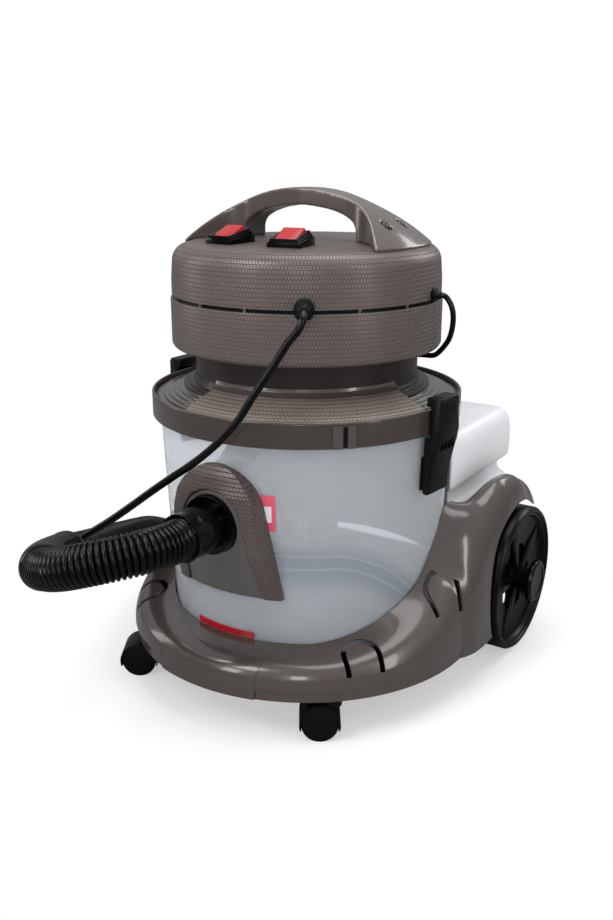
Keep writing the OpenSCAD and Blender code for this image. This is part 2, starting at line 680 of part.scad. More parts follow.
module lid_gasket() {
    color(black) atTank() translate([0, 0, tank_top_z]) tube(tankR(bead_z) + 2, tankR(bead_z) - 6, 4);
}
function stepped(lift) = [for (i = [0 : step_n - 1]) each [[stepR(i), stepZ(i) + lift], [stepR(i + 1), stepZ(i) + lift]]];
basket_hang_r = 70;
module lid_plate() {
    color(brown) atTank() rotate_extrude($fn = 120) polygon(concat(
        [[plate_r, seal_z]], stepped(0),
        [[neck_foot_r, neck_foot_z], [basket_hang_r, neck_foot_z], [basket_hang_r, neck_foot_z - 4],
         [neck_foot_r - 6, neck_foot_z - 4], [plate_r - 10, seal_z]]));
}
sector_a = [-14, 79];
module lid_sector() {
    color(brown) atTank() rotate([0, 0, sector_a[0] - 90]) rotate_extrude(angle = sector_a[1] - sector_a[0], $fn = 120)
        polygon(concat(stepped(eps), [[neck_foot_r, neck_foot_z + 6], [plate_r - 8, stepZ(0) + 7.5],
            [plate_r, stepZ(0) + 3]]));
}
module neck() {
    color(brown) atTank() rotate_extrude($fn = 120) polygon([
        [neck_r - 4, neck_foot_z], [neck_foot_r - 0.2, neck_foot_z], [neck_foot_r - 0.2, neck_foot_z + 2.2],
        [neck_r + 8.5, neck_foot_z + 2.2], [neck_r + 8.5, neck_foot_z + 4.4], [neck_r + 2.8, neck_foot_z + 4.4],
        [neck_r + 2.2, neck_foot_z + 7], [neck_r + 0.8, neck_foot_z + 9.5], [neck_r, neck_foot_z + 13],
        [neck_r, head_z], [neck_r - 4, head_z]]);
}

// ---- Motor head ----

housing_wall = 3.5;
housing_in_r = head_r - housing_wall;
deck_z = head_z + 4;
module lower_housing() {
    color(brown) atTank() rotate_extrude($fn = 120) polygon([
        [neck_r - 4, head_z], [housing_r - 6, head_z], [housing_r - 2, head_z + 1.6], [housing_r, head_z + 5],
        [housing_r, gap_z], [housing_in_r, gap_z], [housing_in_r, head_z + 8], [housing_in_r - 3, deck_z],
        [neck_r - 4, deck_z]]);
}
module motor_deck() {
    color(grey_plastic) atTank() translate([0, 0, deck_z]) tube(housing_in_r - 4, 40, 4);
}
post_step = 22.5;
module vent_ring() {
    color(black) atTank() {
        translate([0, 0, gap_z - 11]) tube(housing_in_r - 0.2, housing_in_r - 2.4, gap_h + 22);
        for (i = [0 : 15])
            rotate([0, 0, post_step * i - 14]) translate([-1.5, -head_r + 0.4, gap_z])
                cube([3, housing_wall + 0.6, gap_h]);
    }
}
cover_z = gap_z + gap_h;
shoulder_r = 19;
function coverSkin(d) = concat([[head_r - d, cover_z], [head_r - d, 470]],
    arcPts(head_r - shoulder_r - 1.5, cover_top_z - 23.5, shoulder_r - d, 0, 75, 6),
    [[125, cover_top_z - 2 - d], [80, cover_top_z - 0.5 - d], [0, cover_top_z - d]]);
module coverSolid() { rotate_extrude($fn = 120) polygon(concat([[0, cover_z]], coverSkin(0))); }
module upper_cover() {
    inner = coverSkin(housing_wall);
    color(brown) atTank() difference() {
        rotate_extrude($fn = 120) polygon(concat(coverSkin(0), [for (i = [len(inner) - 1 : -1 : 0]) inner[i]]));
        for (s = [-1, 1]) atSwitch(s) slab(2 * rocker_half_w + 2, 2 * rocker_r + 1, -16, 10);
    }
}

// The handle is a slice of a shallow dome, narrow at the grip and spread at its feet
foot_r = 139.5;
dome_drop = handle_top_z - cover_top_z + 3;
function domeZ(r) = handle_top_z - dome_drop * pow(r / foot_r, 2.15);
// Half the handle's width at each distance from its middle
fan = [[0, grip_w / 2], [30, grip_w / 2 - 2.5], [50, grip_w / 2 - 4], [62, grip_w / 2 - 4.5], [70, 16.3], [78, 19],
    [85, 23], [92, 28.5], [100, 36], [107, 44], [113, 51.5], [119, 59], [125, 66], [150, 86]];
grip_arch = [[-14, cover_top_z - 30], [68.7, cover_top_z - 30], [68.7, 519], [67.9, 525.2], [66.1, 529.3],
    [63.4, 532.8], [59.3, 535.8], [52.9, 539.2], [46.5, 541.7], [40.2, 543.6], [33.6, 545.2], [21.3, 547.2],
    [9.1, 548.6], [-14, 549]];
handle_screws = [[110.5, 17.3], [110.5, -17.3]];
module handle() {
    color(brown) atTank() difference() {
        intersection() {
            rotate_extrude($fn = 120) polygon(concat([[0, cover_top_z - 20], [foot_r + 2, cover_top_z - 20]],
                [for (i = [12 : -1 : 0]) [foot_r * i / 12, domeZ(foot_r * i / 12)]]));
            translate([0, 0, cover_top_z - 21]) linear_extrude(90) polygon(concat(
                [for (p = fan) [p[0], -p[1]]], [for (i = [len(fan) - 1 : -1 : 0]) fan[i]],
                [for (p = fan) [-p[0], p[1]]], [for (i = [len(fan) - 1 : -1 : 0]) -fan[i]]));
        }
        rotate([0, 0, 11]) alongY(-60, 60) polygon(grip_arch);
        onLeft() rotate([0, 0, 11]) alongY(-60, 60) polygon(grip_arch);
        for (s = [-1, 1], p = handle_screws)
            translate([s * p[0], p[1], cover_top_z + 8]) cylinder(r = 6.5, h = 40, $fn = 32);
        coverSolid();
    }
}

// ---- Switches ----

rocker_r = 14.2;
rocker_half_w = 12;
rocker_pivot = 4;
module atSwitch(s, tilt = switch_tilt) {
    translate([s * switch_x, switch_y, cover_top_z + 2]) rotate([0, 0, s * switch_turn]) rotate([tilt, 0, 0]) children();
}
module slab(w, d, z0, z1) { translate([-w / 2, -d / 2, z0]) cube([w, d, z1 - z0]); }
module switchBezel(s) {
    difference() {
        union() {
            atSwitch(s, 9.5) slab(37.5, 37, -20, 3.5);
            atSwitch(s, 11.5) slab(34.5, 34.6, -3, 6);
            atSwitch(s) slab(31.5, 32.4, -3, 8.8);
        }
        atSwitch(s) {
            slab(2 * rocker_half_w + 0.8, 2 * rocker_r + 0.8, -1, 20);
            translate([0, 0, rocker_pivot]) rotate([0, 90, 0]) cylinder(r = 1.55, h = 28.4, center = true, $fn = 32);
            translate([0, 0, rocker_pivot]) rotate([0, 90, 0]) intersection() {
                cylinder(r = rocker_r + 0.4, h = 2 * rocker_half_w + 0.8, center = true);
                translate([0, -20, -20]) cube(40);
            }
        }
        coverSolid();
    }
}
module switch_bezel_right() { color(black) atTank() switchBezel(1); }
module switch_bezel_left() { color(black) atTank() switchBezel(-1); }
module rocker() {
    translate([0, 0, rocker_pivot]) {
        rotate([90, 0, 90]) linear_extrude(2 * rocker_half_w, center = true) polygon(concat(
            arcPts(0, 0, rocker_r, -12, 38, 6), [[4, 6.9], [-4, 5.2]], arcPts(0, 0, rocker_r, 166, 192, 4)));
        rotate([0, 90, 0]) cylinder(r = 1.5, h = 2 * rocker_half_w + 3.6, center = true, $fn = 32);
    }
}
module rocker_right() { color(red) atTank() atSwitch(1) rocker(); }
module rocker_left() { color(red) atTank() atSwitch(-1) rocker(); }

// ---- Glands and supply tube ----

gland_in = head_r - 3;
gland_right_a = 90 + atan2(14, 163);
module onHead(a, z) {
    difference() {
        radial(a, z) translate([0, 0, gland_in]) children();
        cylinder(r = head_r, h = 600, $fn = 120);
        cylinder(r = housing_r + eps, h = gap_z, $fn = 120);
    }
}
module gland_front() {
    color(black) atTank() onHead(gland_a, tube_route[0][2]) {
        cylinder(r = 10, h = 7.5, $fn = 48);
        cylinder(r = 11, h = 16, $fn = 10);
        translate([0, 0, 16]) cylinder(r1 = 8, r2 = 5.5, h = norm([tube_route[0][0], tube_route[0][1]]) - gland_in - 16.4);
    }
}
module gland_right() {
    color(black) atTank() onHead(gland_right_a, supply_route[0][2]) {
        cylinder(r = 7, h = 7, $fn = 32);
        cylinder(r1 = 5.5, r2 = 4, h = norm([supply_route[0][0], supply_route[0][1]]) - gland_in - 0.4);
    }
}
module supply_tube() { color(black) atTank() sweptRod(smooth(supply_route, 2), supply_d / 2, 8); }

// ---- Inside the head ----

motor_r = 68;
motor_top_z = 500;
shaft_r = 5;
module motor_case() {
    color(steel) atTank() translate([0, 0, deck_z + 7]) difference() {
        cylinder(r = motor_r, h = motor_top_z - deck_z - 7);
        translate([0, 0, 4]) cylinder(r = motor_r - 3, h = motor_top_z - deck_z - 15);
        translate([0, 0, -1]) cylinder(r = shaft_r + run, h = 120);
        for (i = [0 : 5])
            rotate([0, 0, 60 * i]) translate([24, 0, -1]) cylinder(r = 8, h = 7);
    }
}
module motor_rotor() {
    foot = deck_z + 9;
    color(grey_plastic) atTank() translate([0, 0, foot]) {
        cylinder(r = shaft_r, h = motor_top_z - foot - 1);
        translate([0, 0, 6]) cylinder(r = motor_r - 8, h = 14);
        translate([0, 0, 26]) cylinder(r = 34, h = 44);
    }
}
module motor_seal() { color(black) atTank() translate([0, 0, deck_z + 4]) tube(motor_r - 4, 44, 3); }
module pump() {
    color(grey_plastic) atTank() translate([0, 106, deck_z + 4]) {
        translate([-24, -16, 0]) cube([48, 32, 22]);
        translate([0, 0, 22]) cylinder(r = 15, h = 34);
    }
}

// ---- Filter basket and float under the lid ----

hang_z = neck_foot_z - 4;
basket_r = 82;
basket_h = 58;
module filter_basket() {
    color(blue_grey) atTank() translate([0, 0, hang_z - basket_h]) difference() {
        union() {
            cylinder(r1 = basket_r - 6, r2 = basket_r, h = basket_h);
            translate([0, 0, basket_h - 3]) cylinder(r = basket_r + 12, h = 3);
        }
        translate([0, 0, 3]) cylinder(r1 = basket_r - 9, r2 = basket_r - 3, h = basket_h);
        for (i = [0 : 11])
            rotate([0, 0, 30 * i]) translate([58, 0, -1]) cylinder(r = 6, h = 6, $fn = 24);
    }
}
cage_z = hang_z - 50;
module float_cage() {
    color(grey_plastic) atTank() {
        difference() {
            translate([0, 0, cage_z]) tube(40, 37, 50);
            for (i = [0 : 5])
                rotate([0, 0, 60 * i]) translate([30, -6, cage_z + 12]) cube([20, 12, 26]);
        }
        translate([0, 0, cage_z]) tube(40, 20, 3);
        translate([0, 0, hang_z - 3]) tube(basket_r - 4, 37, 3);
    }
}
module float() {
    color(white_milky) atTank() translate([0, 0, cage_z + 3.2]) {
        cylinder(r = 30, h = 14);
        cylinder(r = 8, h = 24);
    }
}

// ---- Suction hose, its cuffs and the solution tube ----

hose_r = hose_d / 2;
module hose_cuff() {
    tip = -hose_route[0][1];
    color(black) atTank() rotate([90, 0, 0]) translate([0, port_z, 0]) difference() {
        union() {
            translate([0, 0, -port_face_y - 16]) cylinder(r = spigot_r, h = 60);
            translate([0, 0, -port_face_y + 30]) cylinder(r = spigot_r + 1.2, h = 9);
        }
        translate([0, 0, tip]) cylinder(r = hose_r + slip, h = 60);
        translate([0, 0, 150]) cylinder(r = hose_bore / 2, h = 100);
    }
}
rib_root = 2.2;
hose_pitch = hose_len / (2 * hose_ribs);
bore_rings = 60;
module suction_hose() {
    out_c = [for (i = [0 : 2 * hose_ribs]) along(hose_line, hose_at, i * hose_pitch)];
    out_r = [for (i = [0 : 2 * hose_ribs]) i % 2 == 0 ? hose_r : hose_r - rib_root];
    in_c = [for (i = [0 : bore_rings]) along(hose_line, hose_at, hose_len * i / bore_rings)];
    in_r = [for (i = in_c) hose_bore / 2];
    color(black) atTank() sweptPipe(out_c, out_r, in_c, in_r, 8);
}
module hose_collar() {
    c = [for (i = [0 : 6]) along(hose_line, hose_at, collar_from + (collar_to - collar_from) * i / 6)];
    color(black) atTank() sweptPipe(c, [for (i = c) hose_r + 3.2], c, [for (i = c) hose_r - 0.3], 16);
}
end_cuff_len = 62;
end_bore_r = 16;
module hose_end_cuff() {
    color(black) atTank() translate(hose_end) rotate([0, 0, atan2(hose_end_dir[1], hose_end_dir[0])])
        rotate([0, 90, 0]) difference() {
            cylinder(r = 23, h = end_cuff_len);
            translate([0, 0, -1]) cylinder(r = end_bore_r, h = end_cuff_len + 2);
        }
}
module solution_tube() { color(black) atTank() sweptRod(smooth(tube_route, 2), tube_d / 2, 8); }

chassis();
base_cover_right();
base_cover_left();
front_panel();
trim_strip();
chassis_screws();
rear_axle();
wheel_right();
wheel_left();
hub_cap_right();
hub_cap_left();
caster_fork_right();
caster_fork_left();
caster_wheel_right();
caster_wheel_left();
recovery_tank();
inlet_panel();
inlet_plate();
inlet_port();
port_nut();
inlet_elbow();
latch_bracket();
latch_pins();
latch_right();
latch_left();
clean_tank();
filler_flap();
lid_rim();
lid_gasket();
lid_plate();
lid_sector();
neck();
lower_housing();
motor_deck();
vent_ring();
upper_cover();
handle();
switch_bezel_right();
switch_bezel_left();
rocker_right();
rocker_left();
gland_front();
gland_right();
supply_tube();
motor_case();
motor_rotor();
motor_seal();
pump();
filter_basket();
float_cage();
float();
hose_cuff();
suction_hose();
hose_collar();
hose_end_cuff();
solution_tube();
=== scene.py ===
import math

import bpy
from mathutils import Matrix, Vector


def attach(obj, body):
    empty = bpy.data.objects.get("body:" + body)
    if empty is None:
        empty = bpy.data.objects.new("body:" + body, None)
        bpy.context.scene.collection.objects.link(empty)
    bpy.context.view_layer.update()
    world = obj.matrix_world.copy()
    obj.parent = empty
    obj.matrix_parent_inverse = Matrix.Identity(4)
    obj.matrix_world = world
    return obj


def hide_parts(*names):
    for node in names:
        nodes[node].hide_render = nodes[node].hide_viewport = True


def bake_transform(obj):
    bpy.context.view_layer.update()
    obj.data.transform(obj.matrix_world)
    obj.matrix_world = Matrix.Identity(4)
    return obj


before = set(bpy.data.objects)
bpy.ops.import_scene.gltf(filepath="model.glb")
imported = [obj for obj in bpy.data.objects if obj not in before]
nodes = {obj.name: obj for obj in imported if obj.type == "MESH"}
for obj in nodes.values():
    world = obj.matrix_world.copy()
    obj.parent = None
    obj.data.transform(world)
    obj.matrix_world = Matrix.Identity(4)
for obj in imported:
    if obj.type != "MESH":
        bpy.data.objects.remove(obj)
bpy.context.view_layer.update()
mm = 0.001
tankY = -0.029  # the tank's axis in the machine's frame


def deselectAll():
    for o in bpy.context.selected_objects:
        o.select_set(False)


def activate(obj):
    deselectAll()
    obj.select_set(True)
    bpy.context.view_layer.objects.active = obj


def dress(obj, body, slot, material, *replaced):
    activate(obj)
    bpy.ops.object.transform_apply(location=True, rotation=True, scale=True)
    obj.data.materials.clear()
    obj.data.materials.append(material)
    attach(obj, body)
    if replaced:
        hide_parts(*replaced)
    return obj


def applyModifier(obj, kind, **settings):
    activate(obj)
    mod = obj.modifiers.new(kind.title(), kind)
    for key, value in settings.items():
        setattr(mod, key, value)
    bpy.ops.object.modifier_apply(modifier=mod.name)


def smoothByAngle(obj, degrees=35):
    activate(obj)
    bpy.ops.object.shade_smooth_by_angle(angle=math.radians(degrees))


def editWhole(obj):
    activate(obj)
    bpy.ops.object.mode_set(mode="EDIT")
    bpy.ops.mesh.select_all(action="SELECT")


# Turns every face outwards, after points closer than merge are made one
def facesOut(obj, merge=0.0):
    editWhole(obj)
    if merge:
        bpy.ops.mesh.remove_doubles(threshold=merge)
    bpy.ops.mesh.normals_make_consistent(inside=False)
    bpy.ops.object.mode_set(mode="OBJECT")


def place(obj, matrix):
    obj.data.transform(matrix)
    return obj


def bevelEdges(obj, width, angle=30):
    applyModifier(obj, "BEVEL", width=width * mm, segments=2, limit_method="ANGLE", angle_limit=math.radians(angle))


# Quads between rings that follow one another, each of n points
def ringFaces(count, n):
    return [(i * n + k, i * n + (k + 1) % n, (i + 1) * n + (k + 1) % n, (i + 1) * n + k)
            for i in range(count - 1) for k in range(n)]


def pieceFromMesh(name, points, faces, edges=()):
    mesh = bpy.data.meshes.new(name)
    mesh.from_pydata(points, list(edges), faces)
    mesh.update()
    obj = bpy.data.objects.new(name, mesh)
    bpy.context.scene.collection.objects.link(obj)
    return obj


# Corners are (r, z) or (r, z, radius), and each radius rounds its corner
def filletProfile(corners, steps=4):
    out = []
    n = len(corners)
    for i, corner in enumerate(corners):
        p = Vector(corner[:2])
        radius = corner[2] if len(corner) > 2 else 0
        if radius <= 0:
            out.append(tuple(p))
            continue
        a = Vector(corners[i - 1][:2]) - p
        b = Vector(corners[(i + 1) % n][:2]) - p
        reach = min(radius / math.tan(a.angle(b) / 2), a.length * 0.49, b.length * 0.49)
        start = p + a.normalized() * reach
        end = p + b.normalized() * reach
        for k in range(steps + 1):
            t = k / steps
            q = start * (1 - t) ** 2 + p * 2 * t * (1 - t) + end * t ** 2
            out.append((q.x, q.y))
    return out


# Spins a closed profile, in millimetres, about the upright line through center
def spinProfile(name, corners, center=(0, tankY, 0), steps=160, start=0, sweep=360, smooth=32):
    profile = filletProfile(corners)
    points = [(r * mm * math.sin(math.radians(start)), -r * mm * math.cos(math.radians(start)), z * mm)
              for r, z in profile]
    n = len(points)
    if sweep >= 360:
        obj = pieceFromMesh(name, points, [], [(i, (i + 1) % n) for i in range(n)])
    else:
        obj = pieceFromMesh(name, points, [tuple(range(n))])
    editWhole(obj)
    bpy.ops.mesh.spin(steps=steps, angle=-math.radians(sweep), center=(0, 0, 0), axis=(0, 0, 1))
    bpy.ops.object.mode_set(mode="OBJECT")
    facesOut(obj, merge=0.00002)
    obj.data.transform(Matrix.Translation(center))
    smoothByAngle(obj, smooth)
    return obj


acrossX = Matrix(((0, 0, 1, 0), (1, 0, 0, 0), (0, 1, 0, 0), (0, 0, 0, 1)))


# Turns Z along a line that starts at a point
def onLine(start, along):
    return Matrix.Translation(start) @ Vector(along).to_track_quat("Z", "Y").to_matrix().to_4x4()


def cadCopy(node):
    first, *others = node.split("_")
    name = first + "".join(word.title() for word in others)
    obj = pieceFromMesh(name, [], [])
    obj.data = nodes[node].data.copy()
    obj.data.name = name
    obj.data.transform(nodes[node].matrix_world)
    editWhole(obj)
    bpy.ops.mesh.remove_doubles(threshold=0.00001)
    bpy.ops.object.mode_set(mode="OBJECT")
    if obj.data.has_custom_normals:
        bpy.ops.mesh.customdata_custom_splitnormals_clear()
    return obj


# Flat-sided part with its edges broken
def bevelled(node, width):
    obj = cadCopy(node)
    applyModifier(obj, "DECIMATE", decimate_type="DISSOLVE", angle_limit=math.radians(1.5))
    bevelEdges(obj, width)
    smoothByAngle(obj, 40)
    return obj


# Remeshed and smoothed, for moulded parts with soft corners
def softened(obj, voxel, rounds):
    applyModifier(obj, "REMESH", mode="VOXEL", voxel_size=voxel * mm, adaptivity=0)
    applyModifier(obj, "SMOOTH", factor=0.5, iterations=rounds)
    activate(obj)
    bpy.ops.object.shade_smooth()
    return obj


camera = {"place": (0.6060, -0.9661, 0.5978), "turn": 32.9, "down": 17.3, "lens": 37.93}
camData = bpy.data.cameras.new("Camera")
camData.lens = camera["lens"]
cam = bpy.data.objects.new("Camera", camData)
cam.location = camera["place"]
cam.rotation_euler = (math.radians(90 - camera["down"]), 0, math.radians(camera["turn"]))
bpy.context.scene.collection.objects.link(cam)
bpy.context.scene.camera = cam
bpy.context.scene.view_settings.view_transform = "Standard"

lamps = {
    "keyLamp": {"place": (-0.55, -1.5, 1.9), "aim": (0, -0.03, 0.3), "size": (1.1, 0.8), "watts": 20},
    "frontLeft": {"place": (-0.5, -2.1, 0.95), "aim": (0, -0.03, 0.3), "size": (0.4, 0.7), "watts": 6},
    "frontRight": {"place": (1.0, -1.9, 0.95), "aim": (0, -0.03, 0.3), "size": (0.35, 0.7), "watts": 6},
    "rightStrip": {"place": (1.75, -0.35, 0.95), "aim": (0.1, 0, 0.2), "size": (0.22, 1.5), "watts": 7},
    "topLamp": {"place": (0.1, 0.25, 2.1), "aim": (0, 0, 0.2), "size": (1.5, 1.2), "watts": 18},
    "leftStrip": {"place": (-1.7, -0.6, 0.9), "aim": (0, 0, 0.25), "size": (0.5, 1.4), "watts": 5},
    "backLamp": {"place": (0.7, 1.6, 1.3), "aim": (0, 0, 0.3), "size": (1.0, 0.8), "watts": 8},
}
for name, lamp in lamps.items():
    data = bpy.data.lights.new(name, "AREA")
    data.shape = "RECTANGLE"
    data.size, data.size_y = lamp["size"]
    data.energy = lamp["watts"]
    obj = bpy.data.objects.new(name, data)
    obj.location = lamp["place"]
    aim = Vector(lamp["aim"]) - Vector(lamp["place"])
    obj.rotation_euler = aim.to_track_quat("-Z", "Y").to_euler()
    bpy.context.scene.collection.objects.link(obj)


def feed(tree, node, inputs):
    for key, value in inputs.items():
        if isinstance(value, bpy.types.NodeSocket):
            tree.links.new(value, node.inputs[key])
        else:
            node.inputs[key].default_value = value
    return node


# A shader node, its inputs set to values or linked from other nodes
def newNode(tree, kind, inputs, **settings):
    node = tree.nodes.new(f"ShaderNode{kind}")
    for key, value in settings.items():
        setattr(node, key, value)
    return feed(tree, node, inputs)


def mathNode(tree, operation, *values):
    return newNode(tree, "Math", dict(enumerate(values)), operation=operation).outputs[0]


def mixedShader(tree, first, second, factor):
    return newNode(tree, "MixShader", {"Fac": factor, 1: first, 2: second}).outputs[0]


def splitVector(tree, vector):
    return newNode(tree, "SeparateXYZ", {0: vector}).outputs


# The rays of a tree, and a one for those that reach the camera straight or through glass
def eyeRays(tree):
    rays = newNode(tree, "LightPath", {}).outputs
    return rays, mathNode(tree, "MAXIMUM", rays["Is Camera Ray"], rays["Is Transmission Ray"])


# White to the camera, and a sky that darkens towards the horizon for everything else
world = bpy.data.worlds.new("World")
bpy.context.scene.world = world
world.use_nodes = True
skyTree = world.node_tree
skyTree.nodes.clear()
upward = splitVector(skyTree, newNode(skyTree, "TexCoord", {}).outputs["Generated"])[2]
sky = newNode(skyTree, "ValToRGB", {"Fac": mathNode(skyTree, "MULTIPLY_ADD", upward, 0.5, 0.5)})
skyStops = {0.5: (0.2, 0.2, 0.205, 1), 0.85: (0.66, 0.67, 0.69, 1)}
for i, (position, color) in enumerate(skyStops.items()):
    sky.color_ramp.elements[i].position = position
    sky.color_ramp.elements[i].color = color
around = newNode(skyTree, "Background", {"Color": sky.outputs["Color"]}).outputs[0]
seen = newNode(skyTree, "Background", {"Color": (1, 1, 1, 1)}).outputs[0]
newNode(skyTree, "OutputWorld", {"Surface": mixedShader(skyTree, around, seen, eyeRays(skyTree)[1])})
print("camera and lamps set")


def tone(code):
    parts = [int(code[i:i + 2], 16) / 255 for i in (0, 2, 4)]
    return tuple(c / 12.92 if c <= 0.04045 else ((c + 0.055) / 1.055) ** 2.4 for c in parts) + (1,)


def newFinish(name, color, roughness, metallic=0.0, coat=0.0, coatRoughness=0.1, specular=0.5, **extra):
    mat = bpy.data.materials.new(name)
    mat.use_nodes = True
    shader = feed(mat.node_tree, mat.node_tree.nodes["Principled BSDF"], {
        "Base Color": tone(color), "Roughness": roughness, "Metallic": metallic, "Coat Weight": coat,
        "Coat Roughness": coatRoughness, "Specular IOR Level": specular, **extra})
    return mat, mat.node_tree, shader


def objectCoordinates(tree):
    return newNode(tree, "TexCoord", {}).outputs["Object"]


def newGroup(name, inputs, outputs):
    group = bpy.data.node_groups.new(name, "ShaderNodeTree")
    for flow, sockets in (("INPUT", inputs), ("OUTPUT", outputs)):
        for label, kind in sockets.items():
            group.interface.new_socket(name=label, in_out=flow, socket_type=f"NodeSocket{kind}")
    return group, group.nodes.new("NodeGroupInput"), group.nodes.new("NodeGroupOutput")


def placeGroup(tree, group, spot, values):
    return newNode(tree, "Group", {"Vector": spot, **values}, node_tree=group).outputs


def bumpNormal(tree, height, distance, strength, **under):
    inputs = {"Distance": distance, "Strength": strength, "Height": height, **under}
    return newNode(tree, "Bump", inputs).outputs["Normal"]


def mixedColor(tree, first, second, factor, blend="MIX"):
    inputs = {"A": first, "B": second, "Factor": factor}
    return newNode(tree, "Mix", inputs, data_type="RGBA", blend_type=blend).outputs["Result"]


# Fine unevenness of moulded plastic: a colour drift and a shallow height
grainGroup, gIn, gOut = newGroup(
    "mouldedGrain", {"Vector": "Vector", "Color": "Color", "Drift": "Float", "Fineness": "Float"},
    {"Color": "Color", "Height": "Float", "Roughness": "Float"})
spot, drift = gIn.outputs["Vector"], gIn.outputs["Drift"]
broad = newNode(grainGroup, "TexNoise", {"Scale": 9, "Detail": 3, "Vector": spot}).outputs["Fac"]
fine = newNode(grainGroup, "TexNoise", {"Scale": gIn.outputs["Fineness"], "Detail": 4, "Vector": spot}).outputs["Fac"]
both = mathNode(grainGroup, "ADD", mathNode(grainGroup, "SUBTRACT", broad, 0.5),
                mathNode(grainGroup, "MULTIPLY", mathNode(grainGroup, "SUBTRACT", fine, 0.5), 0.6))
gain = mathNode(grainGroup, "ADD", mathNode(grainGroup, "MULTIPLY", both, drift), 1.0)
shade = newNode(grainGroup, "VectorMath", {0: gIn.outputs["Color"], "Scale": gain}, operation="SCALE")
feed(grainGroup, gOut, {"Color": shade.outputs[0], "Height": fine,
                        "Roughness": mathNode(grainGroup, "MULTIPLY", both, 0.25)})

# Rows of small upright cells round the tank's axis or across a top: a height and a mask of the gaps
cellGroup, cIn, cOut = newGroup(
    "wovenCells", {"Vector": "Vector", "Radius": "Float", "Cell": "Float", "Row": "Float", "Flat Top": "Float"},
    {"Height": "Float", "Gap": "Float"})
px, py, pz = splitVector(cellGroup, cIn.outputs["Vector"])
fromAxis = mathNode(cellGroup, "SUBTRACT", py, tankY)
bearing = mathNode(cellGroup, "ARCTAN2", px, mathNode(cellGroup, "MULTIPLY", fromAxis, -1))
turned = mathNode(cellGroup, "MULTIPLY", bearing, cIn.outputs["Radius"])
reach = mathNode(cellGroup, "SQRT", mathNode(cellGroup, "ADD", mathNode(cellGroup, "MULTIPLY", px, px),
                                             mathNode(cellGroup, "MULTIPLY", fromAxis, fromAxis)))
onTop = mathNode(cellGroup, "LESS_THAN", reach, cIn.outputs["Flat Top"])


def cellTexture(u, v):
    flat = newNode(cellGroup, "CombineXYZ", {0: u, 1: v}).outputs[0]
    return newNode(cellGroup, "TexBrick", {
        "Scale": 1, "Mortar Size": 0.00055, "Mortar Smooth": 0.9, "Vector": flat,
        "Brick Width": cIn.outputs["Cell"], "Row Height": cIn.outputs["Row"]}, offset=0.5).outputs["Fac"]


gap = mathNode(cellGroup, "ADD", mathNode(cellGroup, "MULTIPLY", cellTexture(px, fromAxis), onTop), mathNode(
    cellGroup, "MULTIPLY", cellTexture(turned, pz), mathNode(cellGroup, "SUBTRACT", 1.0, onTop)))
feed(cellGroup, cOut, {"Gap": gap, "Height": mathNode(cellGroup, "SUBTRACT", 1.0, gap)})
gapShade = (0.25, 0.22, 0.2, 1)  # what the gaps between cells are multiplied by


def plasticFinish(name, color, roughness, drift=0.1, fineness=900, bump=0.00003, cells=None, **shaderValues):
    mat, tree, shader = newFinish(name, color, roughness, **shaderValues)
    spot = objectCoordinates(tree)
    grain = placeGroup(tree, grainGroup, spot, {"Color": tone(color), "Drift": drift, "Fineness": fineness})
    shaded = grain["Color"]
    normal = bumpNormal(tree, grain["Height"], bump, 0.5)
    if cells:
        woven = placeGroup(tree, cellGroup, spot, {key: cells[key] for key in ("Radius", "Cell", "Row", "Flat Top")})
        normal = bumpNormal(tree, woven["Height"], cells["depth"], 0.9, Normal=normal)
        shaded = mixedColor(tree, shaded, gapShade, mathNode(tree, "MULTIPLY", woven["Gap"], cells["dark"]), "MULTIPLY")
    feed(tree, shader, {"Base Color": shaded, "Normal": normal,
                        "Roughness": mathNode(tree, "ADD", grain["Roughness"], roughness)})
    return mat


brownGloss = plasticFinish("brownGloss", "4a423f", 0.22, metallic=0.2, coat=0.5, coatRoughness=0.06)
# Painted shade: the lid rim's band is a darker copy of the brown gloss, for the lower parts getting less light
bandShadedGloss = plasticFinish("bandShadedGloss", "3b3431", 0.3, metallic=0.1, coat=0.4, coatRoughness=0.05, specular=0.35)
# Painted shade: the neck is a much darker copy of the brown gloss, for its shade under the housing
neckShadedGloss = plasticFinish("neckShadedGloss", "2a2422", 0.3, specular=0.25)
headCells = {"Radius": 0.153, "Cell": 0.0036, "Row": 0.0046, "Flat Top": 0.137, "depth": 0.0004, "dark": 0.75}
brownWoven = plasticFinish("brownWoven", "665c58", 0.34, metallic=0.3, cells=headCells)
panelCells = {"Radius": 0.185, "Cell": 0.0042, "Row": 0.0042, "Flat Top": 0.0, "depth": 0.0005, "dark": 0.8}
panelWoven = plasticFinish("panelWoven", "5c524e", 0.36, metallic=0.3, cells=panelCells)
# Painted light: the lid sector's woven brown is lighter than the head's, with paler gaps, for light falling on it
sectorCells = {"Radius": 0.157, "Cell": 0.0042, "Row": 0.0024, "Flat Top": 0.0, "depth": 0.0005, "dark": 0.55}
sectorLitWoven = plasticFinish("sectorLitWoven", "7d716b", 0.36, metallic=0.2, cells=sectorCells)
handleGloss = plasticFinish("handleGloss", "5c534f", 0.2, metallic=0.3, coat=0.4, coatRoughness=0.08)
greyPlate = plasticFinish("greyPlate", "575452", 0.36, metallic=0.2)
blackGloss = plasticFinish("blackGloss", "030304", 0.16, drift=0.2, specular=0.22)
blackSatin = plasticFinish("blackSatin", "050505", 0.4, drift=0.25, fineness=1500, bump=0.00006, specular=0.2)
blackWheel = plasticFinish("blackWheel", "030304", 0.3, drift=0.2, specular=0.15)
rubberFinish = plasticFinish("rubber", "0e0e0f", 0.62, drift=0.2, fineness=1200, bump=0.00008)
redGloss = plasticFinish("redGloss", "a80f19", 0.25, drift=0.06, specular=0.4)
